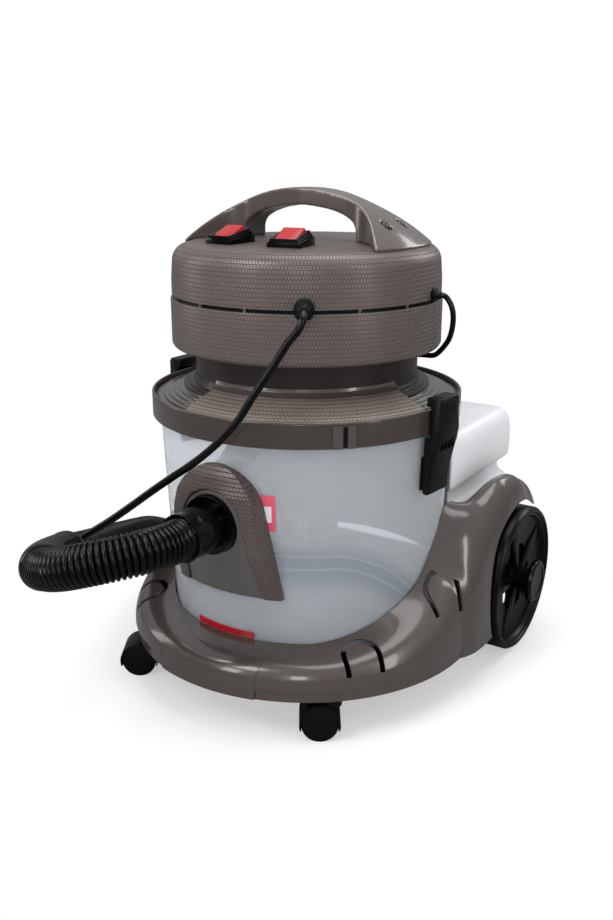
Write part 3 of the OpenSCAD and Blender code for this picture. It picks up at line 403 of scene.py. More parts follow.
labelRed = plasticFinish("labelRed", "cf4d63", 0.5, drift=0.03)
basketBlue = plasticFinish("basketBlue", "39434d", 0.5, drift=0.05)
blueGrey = plasticFinish("blueGrey", "8fa3b3", 0.42, drift=0.06)
steelFinish = plasticFinish("steel", "b4b5b8", 0.3, metallic=0.9, drift=0.08)
whiteTank = plasticFinish("whiteTank", "d9d8db", 0.35, drift=0.03, bump=0.00005)
whiteFloat = plasticFinish("whiteFloat", "e4e6e8", 0.45, drift=0.04)

# The tank's plastic, with a bluish sweep of painted shade and two pale arcs round its right front that drop towards the
# back
milky = {
    "color": "e9ecf0", "roughness": 0.1, "clear": 0.78, "bend": 1.08, "drift": 0.05, "fineness": 60,
    "tint": "93a9c0", "top": 212, "bottom": 150, "soft": 22, "strength": 0.34,
    "arcs": (193, 178), "arcHalf": 1.2, "arcColor": "fbfcfd", "arcStrength": 0.7,
    "dropFrom": 44, "dropPower": 1.6, "drop": 0.13,
}
milkyTank, milkyTree, milkyShader = newFinish(
    "milkyTank", milky["color"], milky["roughness"], **{"Transmission Weight": milky["clear"], "IOR": milky["bend"]})
milkySpot = objectCoordinates(milkyTree)
px, py, pz = splitVector(milkyTree, milkySpot)
toFront = mathNode(milkyTree, "MULTIPLY", mathNode(milkyTree, "SUBTRACT", py, tankY), -1)
bearing = mathNode(milkyTree, "ARCTAN2", px, toFront)
past = mathNode(milkyTree, "MAXIMUM", mathNode(milkyTree, "SUBTRACT", bearing, math.radians(milky["dropFrom"])), 0.0)
fallen = mathNode(milkyTree, "MULTIPLY", mathNode(milkyTree, "POWER", past, milky["dropPower"]), milky["drop"])
level = mathNode(milkyTree, "ADD", pz, fallen)


# One between two heights, with soft edges
def heightBand(low, high, soft):
    rise = mathNode(milkyTree, "MULTIPLY_ADD", level, 1 / (soft * mm), -low / soft)
    fall = mathNode(milkyTree, "MULTIPLY_ADD", level, -1 / (soft * mm), high / soft)
    both = mathNode(milkyTree, "MINIMUM", rise, fall)
    return mathNode(milkyTree, "MINIMUM", mathNode(milkyTree, "MAXIMUM", both, 0.0), 1.0)


milkyGrain = placeGroup(milkyTree, grainGroup, milkySpot, {
    "Color": tone(milky["color"]), "Drift": milky["drift"], "Fineness": milky["fineness"]})
ahead = mathNode(milkyTree, "GREATER_THAN", bearing, 0.0)
# Painted shade: a bluish band darkens the right front between two heights, the tank's inside shown as shade on its wall
paintedShadeMask = mathNode(milkyTree, "MULTIPLY", heightBand(milky["bottom"], milky["top"], milky["soft"]), ahead)
paintedShadeMask = mathNode(milkyTree, "MULTIPLY", paintedShadeMask, milky["strength"])
milkyColor = mixedColor(milkyTree, milkyGrain["Color"], tone(milky["tint"]), paintedShadeMask)
for z in milky["arcs"]:
    arc = mathNode(milkyTree, "MULTIPLY", heightBand(z - milky["arcHalf"], z + milky["arcHalf"], 1), ahead)
    arc = mathNode(milkyTree, "MULTIPLY", arc, milky["arcStrength"])
    milkyColor = mixedColor(milkyTree, milkyColor, tone(milky["arcColor"]), arc)
feed(milkyTree, milkyShader, {"Base Color": milkyColor})
print("finishes made")


def splinePoint(points, i, t):
    def at(k):
        if k < 0:
            return points[0] * 2 - points[1]
        if k >= len(points):
            return points[-1] * 2 - points[-2]
        return points[k]
    a, b, c, d = at(i - 1), at(i), at(i + 1), at(i + 2)
    return 0.5 * (2 * b + (c - a) * t + (2 * a - 5 * b + 4 * c - d) * t * t + (3 * b - a - 3 * c + d) * t ** 3)


# Points a fixed step apart along the curve through a route given in millimetres
def evenPath(route, step):
    points = [Vector((x * mm, y * mm + tankY, z * mm)) for x, y, z in route]
    dense = [splinePoint(points, i, k / 24) for i in range(len(points) - 1) for k in range(24)] + [points[-1]]
    runs = [0.0]
    for a, b in zip(dense, dense[1:]):
        runs.append(runs[-1] + (b - a).length)
    count = max(2, round(runs[-1] / step))
    path, k = [], 0
    for i in range(count + 1):
        s = runs[-1] * i / count
        while k < len(runs) - 2 and runs[k + 1] < s:
            k += 1
        f = (s - runs[k]) / max(runs[k + 1] - runs[k], 1e-9)
        path.append(dense[k].lerp(dense[k + 1], f))
    return path, runs[-1]


def ringFrames(path):
    frames = []
    side = None
    for i, p in enumerate(path):
        along = (path[min(i + 1, len(path) - 1)] - path[max(i - 1, 0)]).normalized()
        if side is None:
            side = along.cross(Vector((0, 0, 1))).normalized()
        side = (side - along * side.dot(along)).normalized()
        frames.append((p, side, along.cross(side)))
    return frames


# A tube of rings whose radius changes along the path, closed by its end faces
def tubePiece(name, path, radii, sides):
    points = []
    for (p, side, up), r in zip(ringFrames(path), radii):
        for k in range(sides):
            a = 2 * math.pi * k / sides
            points.append(p + side * (r * math.cos(a)) + up * (r * math.sin(a)))
    faces = ringFaces(len(path), sides)
    faces.append(tuple(range(sides - 1, -1, -1)))
    faces.append(tuple((len(path) - 1) * sides + k for k in range(sides)))
    obj = pieceFromMesh(name, points, faces)
    facesOut(obj)
    return obj


hoseStyle = {"radius": 0.0225, "root": 0.0195, "pitch": 0.0056, "sides": 28,
             "ribShape": (0.0, 0.55, 0.95, 1.0, 0.95, 0.55), "collar": (0.218, 0.302), "collarRadius": 0.0252}
perRib = len(hoseStyle["ribShape"])
hoseRoute = [
    (0, -204, 228), (0, -228, 228), (0, -252, 228), (-10, -288, 228), (-38, -316, 222), (-76, -327, 210),
    (-114, -316, 197), (-143, -288, 187), (-155, -250, 180), (-162, -208, 171), (-173, -164, 161), (-189, -120, 148),
    (-209, -77, 134), (-231, -33, 118), (-252, 12, 97), (-268, 62, 71), (-277, 116, 46), (-281, 172, 29),
    (-282, 232, 23.2), (-281, 290, 23.2), (-270, 346, 23.2), (-246, 396, 23.2), (-208, 436, 23.2), (-160, 462, 23.2),
    (-105, 474, 23.2), (-48, 474, 23.2), (8, 466, 23.2), (35, 459, 23.2), (62, 452, 23.2)]
hosePath, hoseLength = evenPath(hoseRoute, hoseStyle["pitch"] / perRib)
hoseRadii = [hoseStyle["root"] + (hoseStyle["radius"] - hoseStyle["root"]) * hoseStyle["ribShape"][i % perRib]
             for i in range(len(hosePath))]
suctionHose = tubePiece("suctionHose", hosePath, hoseRadii, hoseStyle["sides"])
smoothByAngle(suctionHose, 80)
dress(suctionHose, "base", "black_gloss", blackGloss, "suction_hose")

collarFrom, collarTo = hoseStyle["collar"]
step = hoseLength / (len(hosePath) - 1)
collarPath = hosePath[round(collarFrom / step):round(collarTo / step) + 1:3]
collarStart, collarLip = [0.0232, 0.0246], [0.0262, 0.0262, 0.0262, 0.025, 0.0232]
plainRings = len(collarPath) - len(collarStart) - len(collarLip)
collarRadii = collarStart + [hoseStyle["collarRadius"]] * plainRings + collarLip
hoseCollar = tubePiece("hoseCollar", collarPath, collarRadii, 40)
smoothByAngle(hoseCollar, 50)
dress(hoseCollar, "base", "black_gloss", blackGloss, "hose_collar")


hoseCuff = place(spinProfile("hoseCuff", [
    (19, 0), (25, 0, 0.6), (25, 30, 0.5), (25.9, 32, 0.8), (26.2, 36, 1), (26.2, 45, 1.2), (25.4, 48, 0.8),
    (25.4, 56, 0.6), (26, 58, 0.6), (26, 60, 0.5), (22.9, 60, 0.4), (22.9, 27), (19, 27)],
    (0, 0, 0), 64), onLine((0, -0.177 + tankY, 0.228), (0, -1, 0)))
dress(hoseCuff, "base", "black_gloss", blackGloss, "hose_cuff")

endAlong = (hosePath[-1] - hosePath[-6]).normalized()
hoseEnd = place(spinProfile("hoseEndCuff", [
    (16, 0), (22.9, 0, 0.6), (22.9, 12, 0.5), (21.5, 14, 0.8), (20, 50, 1), (21.2, 52, 0.8), (21.2, 62, 1),
    (16, 62, 0.5)], (0, 0, 0), 64), onLine(hosePath[-1], endAlong))
dress(hoseEnd, "base", "black_gloss", blackSatin, "hose_end_cuff")


# A thin tube along its route, with its path and its length
def thinTube(name, route, style):
    path, length = evenPath(route, style["step"])
    tube = tubePiece(name, path, [style["radius"]] * len(path), style["sides"])
    smoothByAngle(tube, 60)
    return tube, path, length


solutionStyle = {"radius": 0.004, "step": 0.004, "sides": 20}
solutionRoute = [
    (93.3, -149.3, 455), (94.9, -151.8, 455), (97, -156, 453), (99, -162, 447), (96, -166, 438), (88, -169, 428),
    (78, -177, 408), (70, -184, 392), (60, -191, 374), (51, -196, 357), (41, -201, 342), (30, -205, 329),
    (17, -210, 316), (1, -216, 302), (-19, -223, 287), (-41, -230, 270), (-65, -236, 251), (-90, -241, 232),
    (-110, -245, 218), (-127, -248, 207)]
solutionTube, solutionPath, solutionLength = thinTube("solutionTube", solutionRoute, solutionStyle)
solutionTube.data.materials.append(blackGloss)
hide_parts("solution_tube")
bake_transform(solutionTube)

supplyStyle = {"radius": 0.003, "step": 0.003, "sides": 18}
supplyRoute = [
    (163, 14, 458), (165.5, 14.2, 458), (170, 14.6, 454), (174.5, 15, 446), (176.5, 15, 436), (175.5, 16, 424),
    (170.5, 20, 411), (161, 26, 399.5), (151, 31, 390.5), (143, 34.5, 387.5), (134, 35.9, 387), (123, 33, 387)]
supplyTube, supplyPath, supplyLength = thinTube("supplyTube", supplyRoute, supplyStyle)
dress(supplyTube, "head", "black_gloss", blackGloss, "supply_tube")
print("hose and tubes made", round(hoseLength, 3), round(solutionLength, 3), round(supplyLength, 3))


# Names the primitive just added and puts it in place. Boxes and rods are given in millimetres
def settle(name, matrix, bevel, angle):
    obj = bpy.context.object
    obj.name = name
    obj.data.name = name
    obj.data.transform(matrix)
    if bevel:
        bevelEdges(obj, bevel, angle)
    return obj


def boxPiece(name, low, high, bevel=0.0):
    bpy.ops.mesh.primitive_cube_add(size=1)
    low, high = Vector(low) * mm, Vector(high) * mm
    return settle(name, Matrix.Translation((low + high) / 2) @ Matrix.Diagonal((*(high - low), 1)), bevel, 30)


# A rod along Z, or tipped over about another axis
def rodPiece(name, radius, depth, center, tipped=None, bevel=0.0, sides=48):
    bpy.ops.mesh.primitive_cylinder_add(vertices=sides, radius=radius * mm, depth=depth * mm)
    turn = turnBy(90, tipped) if tipped else Matrix()
    return settle(name, Matrix.Translation(Vector(center) * mm) @ turn, bevel, 50)


# A flat outline in millimetres, drawn out from one height to another
def prismPiece(name, outline, low, high, bevel=0.0):
    n = len(outline)
    points = [(x * mm, y * mm, h * mm) for h in (low, high) for x, y in outline]
    faces = [tuple(range(n - 1, -1, -1)), tuple(range(n, 2 * n))] + ringFaces(2, n)
    obj = pieceFromMesh(name, points, faces)
    facesOut(obj)
    if bevel:
        bevelEdges(obj, bevel, 40)
    return obj


def cut(obj, *cutters, operation="DIFFERENCE"):
    for cutter in cutters:
        applyModifier(obj, "BOOLEAN", operation=operation, object=cutter, solver="MANIFOLD")
        bpy.data.objects.remove(cutter)


def joined(obj, *others):
    deselectAll()
    for o in (obj, *others):
        o.select_set(True)
    bpy.context.view_layer.objects.active = obj
    bpy.ops.object.join()
    return obj


def mirroredCopy(obj, name):
    other = obj.copy()
    other.data = obj.data.copy()
    other.name = name
    other.data.name = name
    bpy.context.scene.collection.objects.link(other)
    other.data.transform(Matrix.Diagonal((-1, 1, 1, 1)))
    other.data.flip_normals()
    return other


# Dresses a right piece and its mirrored left copy
def dressBoth(right, leftName, body, slot, material, node):
    left = mirroredCopy(right, leftName)
    for obj, side in ((right, "right"), (left, "left")):
        dress(obj, body.format(side), slot, material, f"{node}_{side}")


def turnBy(degrees, axis):
    return Matrix.Rotation(math.radians(degrees), 4, axis)


def aroundAxis(angle):
    return Matrix.Translation((0, tankY, 0)) @ turnBy(angle, "Z")


tank = {"foot": 60, "radius": 160, "widens": 11, "rise": 262, "rimRadius": 174, "rimTop": 330, "port": (30, 228)}


def tankRadius(z):
    return tank["radius"] + tank["widens"] * (z - tank["foot"]) / tank["rise"]


# A thin patch on the tank's wall, from one height to another and one bearing on
def wallPatch(name, low, high, inner, outer, start, sweep, steps):
    corners = [(tankRadius(z) + off, z) for z, off in ((low, inner), (low, outer), (high, outer), (high, inner))]
    return spinProfile(name, corners, steps=steps, start=start, sweep=sweep)


# A smooth curve through the rows of a table
def readTable(rows, x):
    if x <= rows[0][0]:
        return rows[0][1]
    for i in range(len(rows) - 1):
        if x <= rows[i + 1][0]:
            break
    else:
        return rows[-1][1]
    x0, x1 = rows[i][0], rows[i + 1][0]
    t = (x - x0) / (x1 - x0)

    def slope(k):
        if k == 0 or k == len(rows) - 1:
            return 0 if k else (rows[1][1] - rows[0][1]) / (rows[1][0] - rows[0][0])
        a = (rows[k][1] - rows[k - 1][1]) / (rows[k][0] - rows[k - 1][0])
        b = (rows[k + 1][1] - rows[k][1]) / (rows[k + 1][0] - rows[k][0])
        return 0 if a * b <= 0 else 2 * a * b / (a + b)
    m0, m1 = slope(i) * (x1 - x0), slope(i + 1) * (x1 - x0)
    a, b = rows[i][1], rows[i + 1][1]
    return ((2 * t ** 3 - 3 * t * t + 1) * a + (t ** 3 - 2 * t * t + t) * m0
            + (3 * t * t - 2 * t ** 3) * b + (t ** 3 - t * t) * m1)


base = {
    "radius": 213, "skirt": 46, "lip": 59, "wall": 3, "panelAngle": 17.5,
    "seat": [[0, 160.6], [10.5, 172.2], [24.4, 187.8], [34.9, 197.8], [46, 205.5], [54, 209], [62, 209.5], [72, 207],
             [84, 201.5], [96, 197], [114, 194.5], [230, 194]],
    "crown": [[0, 126.8], [12, 137], [24, 150], [36, 162], [47, 172], [56, 179], [66, 185], [78, 190.5], [94, 200],
              [112, 211], [132, 217.5], [155, 216], [178, 208.5], [198, 197], [208, 193], [216, 189]],
    "lipX": [[0, 213], [8, 216], [22, 220.5], [46, 222.5], [216, 222.5]],
    "lean": [[17.65, 6.5], [25.5, 4.5], [34.5, 1.5], [44, 0], [90, 0]],
}


def seatRise(angle):
    return 0.0018 * max(0, angle - 72) ** 3


def seatHeight(angle):
    d = max(0, angle - 35)
    return 90 + 0.35 * d + 0.0135 * d * d + seatRise(angle)


def coverSection(out, low, seat, crown, step, count=22):
    foot = max(low + 3, base["lip"])
    high = (8 * crown - foot - seat) / 6
    ends = [(out, foot), (out, high), (out * 0.55, high), (0, seat)]
    points = [(out - step, low), (out - step, foot - 1.8), (out - step * 0.8, foot - 1.5),
              (out - step * 0.15, foot - 1.1)]
    for i in range(count + 1):
        t = i / count
        w = ((1 - t) ** 3, 3 * t * (1 - t) ** 2, 3 * t * t * (1 - t), t ** 3)
        points.append((sum(a * p[0] for a, p in zip(w, ends)), sum(a * p[1] for a, p in zip(w, ends))))
    return points


def shellRing(section):
    inner = []
    for i, p in enumerate(section):
        a, b = section[max(i - 1, 0)], section[min(i + 1, len(section) - 1)]
        d = (b[0] - a[0], b[1] - a[1])
        size = math.hypot(*d)
        inner.append((p[0] - base["wall"] * d[1] / size, p[1] + base["wall"] * d[0] / size))
    inner[-1] = (max(inner[-1][0], 0.0), section[-1][1] - base["wall"])
    return section + inner[::-1]


def roundStation(angle, lean, step):
    m = abs(angle) + lean / 2
    seat = seatHeight(m)
    r = tankRadius(seat) + 1.6
    crown = seat - 5 - 22.5 * max(0, m - 35) / 55 - 0.6 * seatRise(m)
    points = []
    for out, up in shellRing(coverSection(base["radius"] - r, base["skirt"], seat, crown, step)):
        a = math.radians(angle + math.copysign(lean, angle) * (1 - out / (base["radius"] - r)))
        points.append(((r + out) * math.sin(a), -(r + out) * math.cos(a), up))
    return points


def sideStation(y):
    seat = readTable(base["seat"], y)
    r = tankRadius(seat) + 1.6
    inner = max(math.sqrt(max(r * r - y * y, 0)), 160.5)
    step = 2 * max(0.08, 1 - y / 5)
    section = coverSection(readTable(base["lipX"], y) - inner, base["skirt"], seat, readTable(base["crown"], y), step)
    return [(inner + out, y, up) for out, up in shellRing(section)]


def loftPiece(name, stations):
    n, m = len(stations[0]), len(stations[0]) // 2
    points = [(x * mm, y * mm + tankY, z * mm) for s in stations for x, y, z in s]
    faces = ringFaces(len(stations), n)
    for i in (0, len(stations) - 1):
        faces += [(i * n + k, i * n + k + 1, i * n + n - 2 - k, i * n + n - 1 - k) for k in range(m - 1)]
    obj = pieceFromMesh(name, points, faces)
    facesOut(obj)
    return obj


# An arch-shaped slot through the shoulder: its place round the axis, its size and its tilt
def slotCutter(name, angle, radius, z, width, height, tilt, roll, gap=6, steps=20):
    legs = height - width / 2

    def halfRound(r):
        return [(r * math.cos(math.pi * i / steps), legs + r * math.sin(math.pi * i / steps)) for i in range(steps + 1)]

    outer, inner = width / 2, width / 2 - gap
    outline = [(outer, 0)] + halfRound(outer) + [(-outer, 0), (-inner, 0)] + halfRound(inner)[::-1] + [(inner, 0)]
    obj = prismPiece(name, outline, -35, 35)
    turn = (Matrix.Translation((0, 0, z * mm)) @ aroundAxis(angle) @ Matrix.Translation((0, -radius * mm, 0))
            @ turnBy(tilt, "X") @ turnBy(roll, "Z"))
    return place(obj, turn)


axle = {"y": 155.5, "z": 91.5, "arch": 98.5}
roundAngles = [17.65 + (88 - 17.65) * i / 40 for i in range(41)]
sideSteps = [0, 1.2, 2.5, 3.8, 5.2] + [6.5 + 2.5 * i for i in range(84)]
stations = [roundStation(a, readTable(base["lean"], a), 2) for a in roundAngles] + [sideStation(y) for y in sideSteps]
coverRight = loftPiece("baseCoverRight", stations)
cut(coverRight, slotCutter("slotFront", 50.5, 201, 64, 44, 43, 45, 0),
    slotCutter("slotSide", 85.3, 200, 98.5, 43, 47, 24, -15),
    rodPiece("wheelArch", axle["arch"], 80, (210, axle["y"] + tankY / mm, axle["z"]), "Y", sides=128))
smoothByAngle(coverRight, 38)
dressBoth(coverRight, "baseCoverLeft", "base", "grey_brown_gloss", brownGloss, "base_cover")

panelStations = []
for i in range(-12, 13):
    k = i / 12
    panelStations.append(roundStation(base["panelAngle"] * k if i else 0.0001, 6.5 * abs(k), 0.2))
frontPanel = loftPiece("frontPanel", panelStations)
smoothByAngle(frontPanel, 38)
dress(frontPanel, "base", "grey_brown_gloss", brownGloss, "front_panel")
print("base covers made")


wheel = {"r": 91.5, "face": 226, "hub": 15, "bore": 6.05, "pocketTurn": 195, "spokes": 5}
r, face, hub, bore = wheel["r"], wheel["face"], wheel["hub"], wheel["bore"]
atAxle = Matrix.Translation((0, axle["y"] * mm + tankY, axle["z"] * mm))
wheelRight = place(spinProfile("wheelRight", [
    (bore, 192), (hub, 192), (hub, face - 19, 2), (r - 14, face - 14, 2), (r - 14, 190, 1), (r - 3, 190, 1.5),
    (r, 194, 3), (r, face - 4, 3), (r - 3, face, 2), (r - 6.5, face, 1), (r - 8, face - 3, 1),
    (r - 10.5, face - 3.6, 0.6), (r - 13, face - 9, 3), (45, face - 11.5, 10), (hub, face - 13, 2),
    (hub, face + 8), (bore, face + 8)], (0, 0, 0), 128), atAxle @ acrossX)
pockets, spokes = [], []
for i in range(wheel["spokes"]):
    turn = turnBy(72 * i + wheel["pocketTurn"], "X")
    pocket = rodPiece("pocket", 1, 60, (215, 0, 0), "Y")
    pockets.append(place(pocket, atAxle @ turn @ Matrix.Translation((0, 0, 0.032)) @ Matrix.Diagonal((1, 15, 11, 1))))
    turn = turnBy(72 * i + wheel["pocketTurn"] + 36, "X")
    spoke = prismPiece("spoke", [(-4, 13), (4, 13), (12, r - 12), (-12, r - 12)], face - 15, face - 7.5, 2.2)
    spokes.append(place(spoke, atAxle @ turn @ acrossX))
cut(wheelRight, *pockets)
bevelEdges(wheelRight, 0.7, 62)
joined(wheelRight, *spokes)
smoothByAngle(wheelRight, 35)
dressBoth(wheelRight, "wheelLeft", "wheel_{}", "black_gloss", blackWheel, "wheel")
capRight = place(spinProfile("hubCapRight", [
    (0, face + 8.2), (23, face + 8.2, 0.8), (26, face + 10.5, 1.5), (26, face + 15.5, 1.5), (23.5, face + 18, 1.6),
    (20.5, face + 18, 0.8), (19, face + 16.5, 0.8), (0, face + 16.5)], (0, 0, 0), 96), atAxle @ acrossX)
dressBoth(capRight, "hubCapLeft", "wheel_{}", "black_gloss", blackGloss, "hub_cap")
for side in ("right", "left"):
    fork = bevelled(f"caster_fork_{side}", 0.8)
    dress(fork, f"caster_{side}", "black_plastic", blackSatin, f"caster_fork_{side}")
    roller = bevelled(f"caster_wheel_{side}", 0.8)
    dress(roller, f"caster_wheel_{side}", "black_plastic", blackSatin, f"caster_wheel_{side}")
print("wheels and casters made")


foot, rimRadius, rimTop = tank["foot"], tank["rimRadius"], tank["rimTop"]
recoveryTank = spinProfile("recoveryTank", [
    (0, foot), (155, foot, 4), (tankRadius(65), 65, 4), (171, 322), (rimRadius, 323, 1), (rimRadius, rimTop),
    (168.2, rimTop), (157.4, 66, 4), (152.2, 63.8, 3), (0, 63.8)], steps=192)
portRadius, portHeight = tank["port"]
portPlace = (0, -165 + tankY / mm, portHeight)
cut(recoveryTank, rodPiece("tankHole", portRadius, 60, portPlace, "X", sides=64))
smoothByAngle(recoveryTank, 32)
dress(recoveryTank, "base", "milky_tank", milkyTank, "recovery_tank")

dress(wallPatch("tankLabel", 222, 262, -0.1, 0.5, start=12, sweep=9.7, steps=16), "base", "red_plastic", labelRed)
dress(wallPatch("labelBox", 232, 250, 0, 0.7, start=17.6, sweep=2.6, steps=8), "base", "white_tank", whiteTank)

inletPanel = softened(cadCopy("inlet_panel"), 1.0, 6)
dress(inletPanel, "base", "grey_brown_textured", panelWoven, "inlet_panel")
inletPlate = softened(cadCopy("inlet_plate"), 1.0, 4)
dress(inletPlate, "base", "grey_plate", greyPlate, "inlet_plate")

# Each clamp gets a thin overhanging cap, a plugged pin bore and a screw in its side
for side, turn, s in (("right", -5.5, 1), ("left", 0, -1)):
    latch = bevelled(f"latch_{side}", 1.0)
    capOutline = [(176.7, -17.2), (192.8, -17.2), (194.4, -15.6), (194.4, 15.6), (192.8, 17.2), (176.7, 17.2)]
    extras = [prismPiece("latchCap", capOutline, 352.6, 356.9, 0.8)]
    for sy in (-1, 1):
        extras.append(rodPiece("borePlug", 2.6, 0.5, (177, sy * 18.2, 256), "X", sides=32))
        extras.append(rodPiece("sideScrew", 2.4, 1.2, (179.5, sy * 18.7, 274), "X", 0.3, sides=32))
    extras += [boxPiece("faceRib", (190, y - 0.5, 300), (193.9, y + 0.5, 349), 0.3) for y in (-11, -4, 4, 11)]
    spot = aroundAxis(turn) @ Matrix.Diagonal((s, 1, 1, 1))
    for piece in extras:
        place(piece, spot)
        if s < 0:
            piece.data.flip_normals()
    joined(latch, *extras)
    dress(latch, f"latch_{side}", "black_plastic", blackSatin, f"latch_{side}")
print("tank and latches made")


clean = {"half": 158, "back": 271, "corner": 18, "front": 174}


# The side of the tank that faces the recovery tank is an arc, with as many points as the rest
def cleanRing(inset, z):
    w, b, c = clean["half"] - inset, clean["back"] - inset, clean["corner"] - inset / 2
    start = math.sqrt(clean["front"] ** 2 - w * w)
    tip = 3
    points = [(w - tip, start + 0.9), (w - tip * 0.3, start + tip * 0.4), (w, start + tip)]
    points += [(w, start + tip + (b - c - start - tip) * i / 16) for i in range(1, 16)]
    points += [(w - c + c * math.cos(math.pi / 2 * i / 14), b - c + c * math.sin(math.pi / 2 * i / 14))
               for i in range(15)]
    points += [((w - c) * (1 - i / 10), b) for i in range(1, 10)]
    points += [(0, b)] + [(-x, y) for x, y in reversed(points)]
    sweep = math.asin((w - tip - 2) / clean["front"])
    count = len(points)
    points += [(clean["front"] * math.sin(a), clean["front"] * math.cos(a))
               for a in (-sweep + 2 * sweep * i / (count - 1) for i in range(count))]
    return [(x * mm, y * mm + tankY, z * mm) for x, y in points]


layers = [(6, 106), (2.5, 107.2), (0.7, 110), (0, 114), (0.6, 150), (1.1, 180), (1.6, 187), (4, 190.5), (8.5, 194.5),
          (12.4, 199.5), (13.8, 205), (13, 209.5), (9, 213.2), (4.5, 216.3), (2, 219.5), (1.2, 223), (0.6, 240),
          (1.2, 258), (2.4, 266), (4.8, 272.6), (8.4, 277.8), (13, 281.4), (18.5, 283)]
rings = [cleanRing(inset, z) for inset, z in layers]
n = len(rings[0])
last = (len(rings) - 1) * n
faces = ringFaces(len(rings), n)
for k in range(n // 2 - 1):
    faces.append((k, n - 1 - k, n - 2 - k, k + 1))
    faces.append((last + k, last + k + 1, last + n - 2 - k, last + n - 1 - k))
cleanTank = pieceFromMesh("cleanTank", [p for ring in rings for p in ring], faces)
facesOut(cleanTank)
applyModifier(cleanTank, "SOLIDIFY", thickness=0.003, offset=-1)
cut(cleanTank, rodPiece("fillerHole", 24, 30, (0, 226 + tankY / mm, 283)))
fillerNeck = spinProfile("fillerNeck", [(24, 281), (28, 281), (28, 288, 1), (24, 288, 0.5)],
                         (0, 0.226 + tankY, 0), steps=64)
ears = [joined(boxPiece("ear", (s * 9.8 - 2.2, 255 + tankY / mm, 281.5), (s * 9.8 + 2.2, 263 + tankY / mm, 291)),
               rodPiece("earEye", 4, 4.4, (s * 9.8, 259 + tankY / mm, 291), "Y")) for s in (-1, 1)]
joined(cleanTank, fillerNeck, *ears)
smoothByAngle(cleanTank, 40)
dress(cleanTank, "clean_tank", "white_tank", whiteTank, "clean_tank")
flap = bevelled("filler_flap", 0.7)
dress(flap, "filler_flap", "blue_grey", blueGrey, "filler_flap")
print("clean tank made")


lidRim = spinProfile("lidRim", [
    (176.5, 316.5), (180, 316.5, 0.6), (180, 343.5, 1.8), (177, 343.5, 1), (176.4, 336.4, 0.4), (173, 336.4),
    (173, 334), (176.5, 334)], steps=192)
rimRibs = {"bearings": (42.9, 47.6), "halfWidths": (5.2, 4.4), "slotBearing": 45.5, "slotHalf": 1.9}
ribs = [place(boxPiece("rib", (-w, -181.8, 316.5), (w, -178.6, 340.5), 0.9), aroundAxis(a))
        for w, a in zip(rimRibs["halfWidths"], rimRibs["bearings"])]
dress(joined(*ribs), "head", "grey_brown_gloss", brownGloss)
dress(lidRim, "head", "grey_brown_gloss", bandShadedGloss, "lid_rim")
ribSlot = boxPiece("ribSlot", (-rimRibs["slotHalf"], -180.35, 318), (rimRibs["slotHalf"], -178, 339.5))
dress(place(ribSlot, aroundAxis(rimRibs["slotBearing"])), "head", "black_plastic", blackSatin)

lid = {"radius": 173, "height": 339, "steps": 5, "run": 6, "rise": 2.2, "sector": (-15.5, 95), "flare": (-17, 98)}
stepRadius = [lid["radius"] - lid["run"] * i for i in range(lid["steps"] + 1)]
stepHeight = [lid["height"] + lid["rise"] * i for i in range(lid["steps"] + 1)]
plateProfile = [(lid["radius"], 334)]
for i in range(lid["steps"]):
    plateProfile += [(stepRadius[i], stepHeight[i], 0.5), (stepRadius[i + 1], stepHeight[i], 0.4)]
plateProfile += [(143, 350), (70, 350), (70, 346), (137, 346), (163, 334)]
lidPlate = spinProfile("lidPlate", plateProfile, steps=192)
dress(lidPlate, "head", "grey_brown_gloss", brownGloss, "lid_plate")

sectorProfile = []
for i in range(lid["steps"]):
    sectorProfile += [(stepRadius[i], stepHeight[i] + 0.02), (stepRadius[i + 1], stepHeight[i] + 0.02)]
sectorProfile += [(143, 352.2), (136.2, 352.2), (136.2, 358.4, 0.5), (165, 346.8, 6), (173, 342, 1)]
lidSector = spinProfile("lidSector", sectorProfile, steps=64, start=lid["sector"][0], sweep=lid["sector"][1])
dress(lidSector, "head", "grey_brown_textured", sectorLitWoven, "lid_sector")

neckPiece = spinProfile("neckPiece", [
    (124.5, 350), (142.8, 350), (142.8, 352.2, 0.5), (137, 352.2, 0.4), (137, 354.4, 0.5), (131.3, 354.4, 0.4),
    (130.7, 357, 1), (129.3, 359.5, 2), (128.5, 363, 3), (128.5, 394), (124.5, 394)], steps=160)
flare = spinProfile("neckFlare", [
    (128, 352), (136.2, 352), (136.2, 358.6, 0.4), (132.5, 360.9, 2.5), (129.7, 363.6, 2), (128.45, 367), (128, 367)],
    steps=64, start=lid["flare"][0], sweep=lid["flare"][1])
dress(flare, "head", "grey_brown_gloss", brownGloss)
dress(neckPiece, "head", "grey_brown_gloss", neckShadedGloss, "neck")
print("lid made")


lowerHousing = spinProfile("lowerHousing", [
    (124.5, 394), (148.5, 394, 2), (152.5, 395.6, 2.5), (154.5, 399, 3), (154.5, 449, 0.9), (149.5, 449),
    (149.5, 402, 4), (146.5, 398, 3), (124.5, 398)], steps=192)
dress(lowerHousing, "head", "grey_brown_textured", brownWoven, "lower_housing")

ventRing = spinProfile("ventRing", [(147.1, 438), (149.3, 438), (149.3, 464), (147.1, 464)], steps=128)
dress(ventRing, "head", "black_plastic", blackSatin, "vent_ring")
posts = [place(boxPiece("post", (-1.5, -152.6, 448.6), (1.5, -148.9, 453.4)), aroundAxis(22.5 * i - 14))
         for i in range(16)]
ventPosts = joined(*posts)
ventPosts.name = "ventPosts"
dress(ventPosts, "head", "grey_brown_textured", brownWoven)


head = {"radius": 153, "foot": 453, "straight": 470, "arcCenter": (132.5, 489), "arcRadius": 19, "wall": 3.5}


